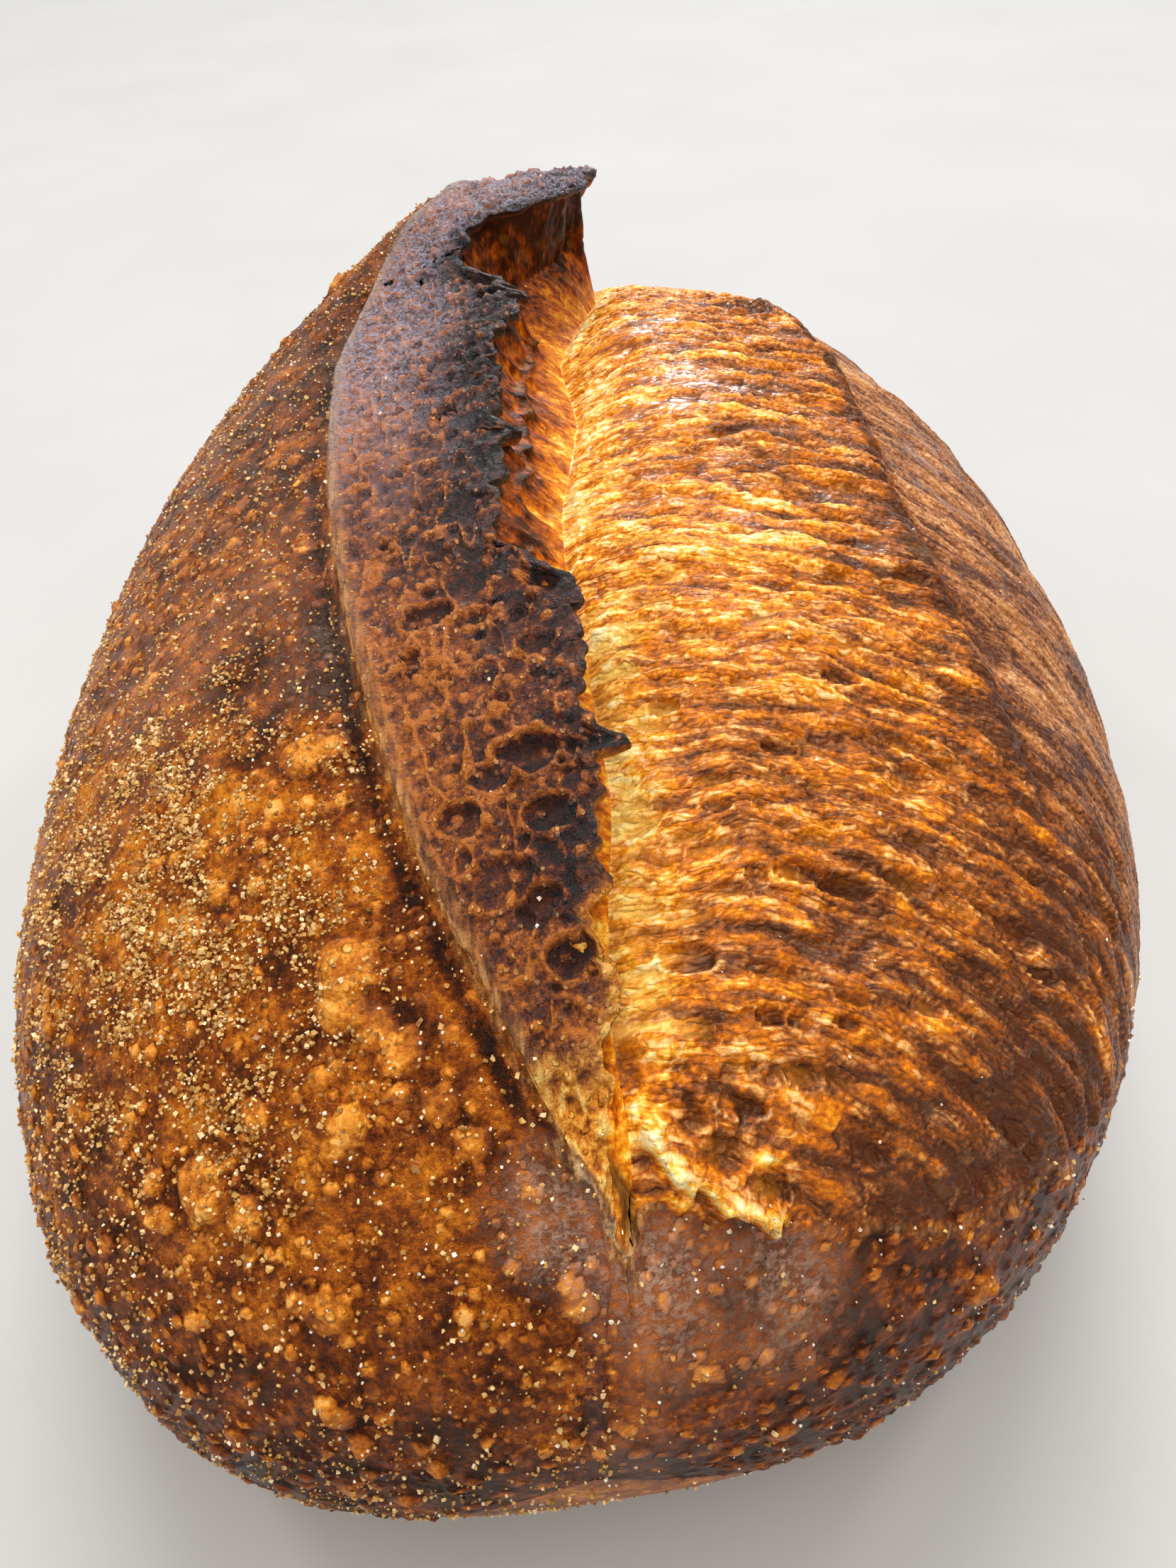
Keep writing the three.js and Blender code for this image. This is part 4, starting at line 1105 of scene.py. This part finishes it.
NEAR_INNER = (-26.0, -20.0, 72.0)      # inside the ear's root, where its pieces close
HOOD_INNER = (-6.0, 84.0, 72.0)
KNOB_PITCH = 1.0
EAR_BUMP = 0.45
EAR_BROWNS = ((0.0, "#b0641e"), (0.25, "#7e3f12"), (0.5, "#4c2210"), (0.75, "#2a1410"),
              (1.0, "#131010"))
KNOB_TANS = ((0.0, "#e0a04e"), (0.3, "#c88c4e"), (0.6, "#9a6a48"), (0.8, "#5e4a42"),
             (1.0, "#3a3434"))
EAR_FIBRES = ((0.38, "#3a2010"), (0.5, "#764a22"), (0.62, "#b08048"))
EAR_GOLDS = ((0.0, "#efc468"), (0.3, "#dd9224"), (0.6, "#b4640e"), (0.9, "#6a300c"))

ear_material, tree, spot = new_material("scorched_bread_ear")
skin_colour, skin_height, _ = baked_skin(tree, spot)
toast, hollow, flour, fibre, whole, golden, proud = (
    add(tree, "Attribute", out="Fac", attribute_name=name)
    for name in ("toast", "hollow", "flour", "fibre", "whole", "golden", "proud"))
grit = add(tree, "TexNoise", {"Vector": spot, "Scale": 1 / (0.6 * MM), "Detail": 4.0,
                              "Roughness": 0.65})
patchy = add(tree, "TexNoise", {"Vector": spot, "Scale": 1 / (3.0 * MM), "Detail": 4.0,
                                "Roughness": 0.65})
knob, knob_luck = spots(tree, wandering(tree, spot, 1.6, 0.9), KNOB_PITCH, 0.9, 0.5, 0.2)
# Tan knob tops show where the relief stands out, and raised points are painted lighter, low ones
# darker: painted light and shade.
knob_shown = limited(tree, knob, (proud, 0.25, 0.6, 0.3, 1.0))
browning = browned(tree, toast, ((patchy, 1.6), (grit, 1.4), (proud, -0.9)), -1.06)
knob_browning = add(tree, "Math", knob_luck, 0.2, browning, operation="MULTIPLY_ADD")
# The bluish grey bloom is a painted sheen, a painted reflection.
painted_sheen = limited(tree, add(tree, "MapRange", grit, 0.4, 0.62), (flour, 0.15, 1.0, 0.0, 0.9))
# The rope's grey follows the same painted sheen.
rope = coated(tree, torn_fibres(tree, spot, 0.7, EAR_FIBRES),
              (add(tree, "MapRange", flour, 0.1, 0.8, 0.0, 0.6), "#8f8a86"))
colour = coated(
    tree, add(tree, "ValToRGB", browning, stops=EAR_BROWNS),
    (knob_shown, add(tree, "ValToRGB", knob_browning, stops=KNOB_TANS)),
    # Pits and holes are painted dark: painted shade.
    (add(tree, "MapRange", hollow, 0.15, 1.0, 0.0, 0.62), "#48200f"),
    (painted_sheen, "#9992a2"),
    (add(tree, "MapRange", fibre, 0.2, 0.8, 0.0, 0.8), rope),
    (golden, add(tree, "ValToRGB", browning, stops=EAR_GOLDS)),
    (whole, skin_colour))
height = add(tree, "Math", grit, 2.0, knob, operation="MULTIPLY_ADD")
height = add(tree, "Mix", {0: whole, 2: height, 3: skin_height}, data_type="FLOAT")
bump = add(tree, "Bump", {"Strength": 1.0, "Distance": EAR_BUMP * MM, "Height": height})
finish(tree, {"Base Color": colour, "Normal": bump, "Specular IOR Level": 0.35,
              "Roughness": add(tree, "MapRange", grit, 0.35, 0.65, 0.28, 0.55)})

for name, rows, inner in (("ear_near", (0, hood_row), NEAR_INNER),
                          ("ear_hood", (hood_row, LAST_ROW), HOOD_INNER)):
    place(name, wedge(name, rows, (AT_RIDGE, AT_LIP), inner), ear_material)

# ------------------------------------------------------------------ wall under the ear
# Pulled gluten and starch, toasted but never scorched: glossy, amber, streaked upright, paler
# and yellower down in the valley.

WALL_BUMP = 0.4
WALL_AMBERS = ((0.0, "#e6c258"), (0.2, "#d88e16"), (0.42, "#b96006"), (0.64, "#863a04"),
               (0.84, "#4c1e05"), (1.0, "#240e07"))

wall_material, tree, spot = new_material("pulled_gluten_amber")
skin_colour, skin_height, _ = baked_skin(tree, spot)
toast, hollow, whole = (add(tree, "Attribute", out="Fac", attribute_name=name)
                        for name in ("toast", "hollow", "whole"))
upright = add(tree, "VectorMath", spot, (0.8, 1.0, 0.3), operation="MULTIPLY")
grit = add(tree, "TexNoise", {"Vector": upright, "Scale": 1 / (0.7 * MM), "Detail": 4.0,
                              "Roughness": 0.6})
patchy = add(tree, "TexNoise", {"Vector": spot, "Scale": 1 / (3 * MM), "Detail": 3.0})
# The toast mark here holds painted shade under the ear's edge and the hood.
browning = browned(tree, toast, ((patchy, 1.1), (grit, 1.3)), -1.2)
# Burst pits are painted darker brown: painted shade.
colour = coated(tree, add(tree, "ValToRGB", browning, stops=WALL_AMBERS),
                (hollow, "#8a5a26"), (whole, skin_colour))
height = add(tree, "Mix", {0: whole, 2: grit, 3: skin_height}, data_type="FLOAT")
bump = add(tree, "Bump", {"Strength": 0.8, "Distance": WALL_BUMP * MM, "Height": height})
finish(tree, {"Base Color": colour, "Normal": bump,
              "Roughness": add(tree, "MapRange", grit, 0.35, 0.65, 0.35, 0.55),
              "Specular IOR Level": 0.25, "Specular Tint": WARM_SHINE})

for name, rows, inner in (("wall_near", (0, hood_row), NEAR_INNER),
                          ("wall_hood", (hood_row, LAST_ROW), HOOD_INNER)):
    place(name, wedge(name, rows, (AT_LIP, AT_VALLEY), inner), wall_material)

# ------------------------------------------------------------------ belly
# Torn crumb that skinned over in the oven, stretched gluten glazed with starch. To the eye it is
# glossy scales: cream in the valley, then gold and orange with darker seams, brown at the side.

SCALE_PITCH = 0.8              # of the cells, measured across the strands
FILM_PITCH = 2.1
STREAK_PITCH = 1.8
BAND_PITCH = 5.0
BELLY_BUMP = 0.4
BELLY_GOLDS = ((0.0, "#e2d3a0"), (0.14, "#e6bd58"), (0.28, "#dd9020"), (0.42, "#c66e0e"),
               (0.56, "#a5560f"), (0.7, "#8a4818"), (0.85, "#683619"), (1.0, "#4a2615"))
SCALE_CREAMS_AND_GLINTS = ((0.1, "#f8e8b8"), (0.5, "#eab468"), (0.8, "#a86c38"), (1.0, "#80502c"))
CALM_TANS = ((0.2, "#e0b080"), (0.45, "#c48a58"), (0.65, "#9a5e34"), (0.9, "#4c2618"))
HOLLOW_SHADE_AMBERS = ((0.1, "#cfae56"), (0.35, "#ac6c12"), (0.7, "#5e2c10"))

belly_material, tree, spot = new_material("oven_sprung_crumb")
skin_colour, skin_height, skin_gloss = baked_skin(tree, spot)
toast, hollow, pale_and_lit_rim, whole, calm, proud, glaze = (
    add(tree, "Attribute", out="Fac", attribute_name=name)
    for name in ("toast", "hollow", "fibre", "whole", "calm", "proud", "flour"))
lanes = add(tree, "Attribute", out="Vector", attribute_name="flow")
drift = add(tree, "TexNoise", {"Vector": spot, "Scale": 1 / (1.8 * MM), "Detail": 2.0},
            out="Color")
lanes = add(tree, "VectorMath", drift, (1.3 * MM, 0.8 * MM, 0.0), lanes, operation="MULTIPLY_ADD")
scale_place, streak_place, band_place = (
    add(tree, "VectorMath", lanes, (share, 1.0, 1.0), operation="MULTIPLY")
    for share in (0.36, 0.22, 0.25))
scale_cell = add(tree, "TexVoronoi", {"Vector": scale_place, "Scale": 1 / (SCALE_PITCH * MM)},
                 voronoi_dimensions="2D", out=None)
scale_edge, film_edge = (
    add(tree, "TexVoronoi", {"Vector": scale_place, "Scale": 1 / (pitch * MM)},
        voronoi_dimensions="2D", feature="DISTANCE_TO_EDGE")
    for pitch in (SCALE_PITCH, FILM_PITCH))
scale_luck = add(tree, "SeparateColor", scale_cell.outputs["Color"], out=None).outputs
streaks = add(tree, "TexNoise", {"Vector": streak_place, "Scale": 1 / (STREAK_PITCH * MM),
                                 "Detail": 4.0, "Roughness": 0.62})
streaks = add(tree, "Mix", {0: add(tree, "Math", calm, 0.75, operation="MULTIPLY"), 2: streaks,
                            3: 0.5}, data_type="FLOAT")
bands = add(tree, "TexNoise", {"Vector": band_place, "Scale": 1 / (BAND_PITCH * MM),
                               "Detail": 2.0})
grit = add(tree, "TexNoise", {"Vector": spot, "Scale": 1 / (0.6 * MM), "Detail": 3.0})

seam = add(tree, "MapRange", scale_edge, 0.14, 0.0, 0.0, 1.0)
film_seam = add(tree, "MapRange", film_edge, 0.08, 0.0, 0.0, 1.0)
seams = add(tree, "Math", seam, 0.05, add(tree, "Math", film_seam, 0.08, operation="MULTIPLY"),
            operation="MULTIPLY_ADD")
seams = limited(tree, seams, (streaks, 0.42, 0.58, 0.0, 1.6))
# Raised points are painted lighter and low ones darker: painted shade.
browning = browned(tree, toast, ((streaks, 1.3), (bands, 0.5), (scale_luck[0], 0.12), (grit, 0.8),
                                 (proud, -0.45), (seams, 1.0)), -1.01)

# Pale scales are partly thin films and partly painted glints, a painted highlight.
pale_film_and_glint = limited(tree, add(tree, "MapRange", scale_luck[1], 0.62, 0.8, 0.0, 0.55),
               (scale_edge, 0.08, 0.25), (browning, 0.85, 0.5, 0.4, 1.0))
film = limited(tree, add(tree, "MapRange", film_edge, 0.05, 0.0, 0.0, 0.6),
               (bands, 0.5, 0.62), (browning, 0.6, 0.35))
# Pale rims of open cells, painted brighter on their near side: painted light.
pale_and_lit_rim_shown = limited(tree, add(tree, "MapRange", pale_and_lit_rim, 0.3, 1.0, 0.0, 0.6),
                    (browning, 0.85, 0.5, 0.2, 1.0))
colour = coated(
    tree, add(tree, "ValToRGB", browning, stops=BELLY_GOLDS),
    (pale_film_and_glint, add(tree, "ValToRGB", browning, stops=SCALE_CREAMS_AND_GLINTS)),
    (calm, add(tree, "ValToRGB", browning, stops=CALM_TANS)),
    # Open cells, sunk bubbles and the valley bottom are painted darker over the crumb's own amber:
    # painted shade.
    (add(tree, "MapRange", hollow, 0.2, 1.0, 0.0, 0.75),
     add(tree, "ValToRGB", toast, stops=HOLLOW_SHADE_AMBERS)),
    (pale_and_lit_rim_shown, "#ecd49c"),
    (film, "#ecc988"),
    (whole, skin_colour))

height = add(tree, "MapRange", scale_edge, 0.0, 0.3, 0.0, 0.5)
height = add(tree, "Math", streaks, 2.0, height, operation="MULTIPLY_ADD")
height = add(tree, "Math", grit, 0.5, height, operation="MULTIPLY_ADD")
height = limited(tree, height, (glaze, 0.0, 1.0, 1.0, 0.35))
height = add(tree, "Mix", {0: whole, 2: height, 3: skin_height}, data_type="FLOAT")
gloss = add(tree, "Mix", {0: whole, 2: add(tree, "MapRange", grit, 0.35, 0.65, 0.24, 0.44),
                          3: skin_gloss}, data_type="FLOAT")
torn_only = add(tree, "Math", 1.0, whole, operation="SUBTRACT")
bump = add(tree, "Bump", {"Strength": 0.85, "Distance": BELLY_BUMP * MM, "Height": height})
finish(tree, {"Base Color": colour, "Roughness": gloss, "Normal": bump,
              "Coat Weight": add(tree, "Math", glaze, torn_only, operation="MULTIPLY"),
              "Coat Roughness": 0.16,
              "Specular IOR Level": 0.3, "Specular Tint": WARM_SHINE})

for name, rows in (("belly_near", (0, near_third)), ("belly_mid", (near_third, far_third)),
                   ("belly_far", (far_third, LAST_ROW))):
    place(name, wedge(name, rows, (AT_VALLEY, AT_FLANK)), belly_material)

# ------------------------------------------------------------------ semolina and flour
# Coarse wheat semolina from the proving basket sticks to the left skin, thickest low on that
# side. Flour left smaller white specks all over. Each grain is a chipped block with 12 faces.

SEMOLINA = (                   # name, count, smallest and largest radius
    ("semolina_fine", 16000, (0.12, 0.3)), ("semolina_coarse", 8000, (0.2, 0.42)))
SPECK_COUNT = 3200
SPECK_RADII = (0.1, 0.28)
CHIP_SIDE = 1.15               # as shares of a grain's radius: its side,
CORNER_SHIFT = 0.9             # how far each corner is pulled in or out,
LEAST_STRETCH, STRETCH = 0.75, 0.6
LIFT = 0.35                    # and how high its middle stands over the crust
SEAT_SPREAD = 1.6              # how far it may lie from its point, in steps of the grid
CHIP_FACES = np.array([(0, 1, 3), (0, 3, 2), (4, 6, 7), (4, 7, 5), (0, 4, 5), (0, 5, 1),
                       (2, 3, 7), (2, 7, 6), (0, 2, 6), (0, 6, 4), (1, 5, 7), (1, 7, 3)])
SEMOLINA_YELLOWS = ((0.0, "#7c5020"), (0.35, "#a87836"), (0.7, "#c89a50"), (1.0, "#e6ca98"))
FLOUR_WHITES = ((0.0, "#bd9f78"), (0.4, "#ddcdb2"), (1.0, "#f6f0e4"))

rng = np.random.default_rng(7)
chip = (np.array(list(np.ndindex(2, 2, 2))) - 0.5) * CHIP_SIDE
grid_steps = (np.roll(crust, -1, 1) - crust, np.gradient(crust, axis=0))


def strew(name, count, weight, radii, material):
    """Grains at surface points drawn with the given weight: small blocks with each corner
    pulled in or out, stretched, turned at random, and set a little way into the crust."""
    chance = (weight * np.linalg.norm(np.cross(*grid_steps), axis=-1)).ravel()
    seats = rng.choice(len(chance), count, replace=False, p=chance / chance.sum())
    shift = sum((rng.random((count, 1)) - 0.5) * step.reshape(-1, 3)[seats]
                for step in grid_steps)
    radius = radii[0] + (radii[1] - radii[0]) * rng.random(count) ** 2
    shape = chip * (1 + CORNER_SHIFT * (rng.random((count, 8, 3)) - 0.5))
    shape = shape * (LEAST_STRETCH + STRETCH * rng.random((count, 1, 3)))
    frames = np.linalg.qr(rng.normal(size=(count, 3, 3)))[0]
    frames[np.linalg.det(frames) < 0, 0] *= -1
    points = shape @ frames * (radius * MM)[:, None, None]
    lift = crust_normal.reshape(-1, 3)[seats] * (LIFT * radius * MM)[:, None]
    points += (crust.reshape(-1, 3)[seats] + SEAT_SPREAD * shift + lift)[:, None]
    points[..., 2] = np.maximum(points[..., 2], 0)
    faces = (CHIP_FACES + 8 * np.arange(count)[:, None, None]).reshape(-1, 3)
    mesh = bpy.data.meshes.new(name)
    mesh.from_pydata(points.reshape(-1, 3), [], faces)
    shade = mesh.attributes.new("shade", "FLOAT", "POINT")
    shade.data.foreach_set("value", np.repeat(rng.random(count), 8).astype(np.float32))
    place(name, mesh, material)


def grain_material(name, colours, shader_inputs):
    """Dry grains: each has one colour of its own, drawn by its shade."""
    material, tree, _ = new_material(name)
    shade = add(tree, "Attribute", out="Fac", attribute_name="shade")
    colour = add(tree, "ValToRGB", shade, stops=colours)
    finish(tree, {"Base Color": colour, **shader_inputs})
    return material


x, y, z = (dough[..., axis] for axis in range(3))
off_the_table = z > 1.5
clumps = ease(rough(dough, 3.5, 80, 3), -0.2, 0.45)
thick = 4.0 * np.clip(marks["crumbs"], 0, 1) ** 1.5 * (x < -12) * clumps
semolina_weight = marks["whole"] * off_the_table * (thick + 0.10 * (x < -8) + 0.02)
flour_weight = off_the_table * (0.1 + 0.9 * marks["whole"]) * (1 + 6.0 * ease(z, 10, 2))

semolina_material = grain_material("wheat_semolina", SEMOLINA_YELLOWS,
                                   {"Roughness": 0.5, "IOR": 1.5})
for name, count, radii in SEMOLINA:
    strew(name, count, semolina_weight, radii, semolina_material)
flour_material = grain_material("wheat_flour", FLOUR_WHITES, {"Roughness": 0.8})
strew("flour_specks", SPECK_COUNT, flour_weight, SPECK_RADII, flour_material)

# ------------------------------------------------------------------ table, camera and light
# A pale plain table. The camera looks down on the near end from close by, with the wide lens of
# a phone. A bright wall, a window and two lamps stand behind the loaf, and soft light comes from
# above and from the near side.

TABLE_SIZE = 6.0               # in metres
TABLE_GREYS = ((0.3, "#a9a8a6"), (0.7, "#adacaa"))
CAMERA_PLACE = (-10.07, -164.9, 184.6)
CAMERA_YAW = math.radians(4.36)
CAMERA_PITCH = math.radians(44.0)
CAMERA_ROLL = math.radians(-3.5)
LENS = 26.98
SENSOR = 36.0                  # the long side
LIGHT_TARGET = (0.0, 0.0, 0.05)
LIGHTS = (                     # name, place, width and height in metres, watts, colour
    ("wall_far", (0.25, 2.20, 4.40), 2.4, 1.6, 205.0, "#fbfdff"),
    ("window_far", (1.00, 4.40, 2.00), 1.0, 0.6, 76.0, "#fbfcff"),
    ("lamp_far_right", (1.00, 0.60, 1.05), 0.25, 0.25, 5.0, "#fffcf8"),
    ("lamp_far_left", (-0.90, 0.70, 1.10), 0.25, 0.25, 5.0, "#fffcf8"),
    ("ceiling", (0.0, -0.50, 1.5), 1.2, 1.2, 16.0, "#fdfcfa"),
    ("fill_near", (-0.3, -1.1, 0.8), 0.9, 0.6, 6.0, "#fff0e0"),
)
AIR_COLOUR = "#f2f0ee"
AIR_STRENGTH = 0.36

floor_mesh = bpy.data.meshes.new("table_top")
half = TABLE_SIZE / 2
floor_mesh.from_pydata([(-half, -half, 0), (half, -half, 0), (half, half, 0), (-half, half, 0)],
                       [], [(0, 1, 2, 3)])
floor = bpy.data.objects.new("table_top", floor_mesh)
bpy.context.scene.collection.objects.link(floor)
floor_material, tree, spot = new_material("baking_paper")
paper = add(tree, "TexNoise", {"Vector": spot, "Scale": 12.0, "Detail": 3.0})
finish(tree, {"Base Color": add(tree, "ValToRGB", paper, stops=TABLE_GREYS), "Roughness": 0.8,
              "Specular IOR Level": 0.2})
floor_mesh.materials.append(floor_material)

camera_data = bpy.data.cameras.new("camera")
camera_data.lens = LENS
camera_data.sensor_width = SENSOR
camera_data.clip_start = 0.01
camera = bpy.data.objects.new("camera", camera_data)
bpy.context.scene.collection.objects.link(camera)
forward = np.array([math.sin(CAMERA_YAW) * math.cos(CAMERA_PITCH),
                    math.cos(CAMERA_YAW) * math.cos(CAMERA_PITCH), -math.sin(CAMERA_PITCH)])
level = np.array([math.cos(CAMERA_YAW), -math.sin(CAMERA_YAW), 0.0])
upward = np.cross(level, forward)
right = level * math.cos(CAMERA_ROLL) + upward * math.sin(CAMERA_ROLL)
up = -level * math.sin(CAMERA_ROLL) + upward * math.cos(CAMERA_ROLL)
axes = np.stack([right, up, -forward, (np.array(CAMERA_PLACE) + origin_shift) * MM], 1)
camera.matrix_world = Matrix([list(row) for row in axes] + [[0, 0, 0, 1]])
bpy.context.scene.camera = camera

for name, lamp_place, width, tall, watts, colour in LIGHTS:
    data = bpy.data.lights.new(name, "AREA")
    data.shape = "RECTANGLE"
    data.energy, data.size, data.size_y = watts, width, tall
    data.color = linear(colour)[:3]
    lamp = bpy.data.objects.new(name, data)
    bpy.context.scene.collection.objects.link(lamp)
    lamp.location = lamp_place
    aim = Vector(LIGHT_TARGET) - lamp.location
    lamp.rotation_euler = aim.to_track_quat("-Z", "Y").to_euler()

world = bpy.data.worlds.new("bakery_air")
world.use_nodes = True
world.node_tree.nodes["Background"].inputs["Color"].default_value = linear(AIR_COLOUR)
world.node_tree.nodes["Background"].inputs["Strength"].default_value = AIR_STRENGTH
bpy.context.scene.world = world
bpy.context.scene.view_settings.view_transform = "Standard"
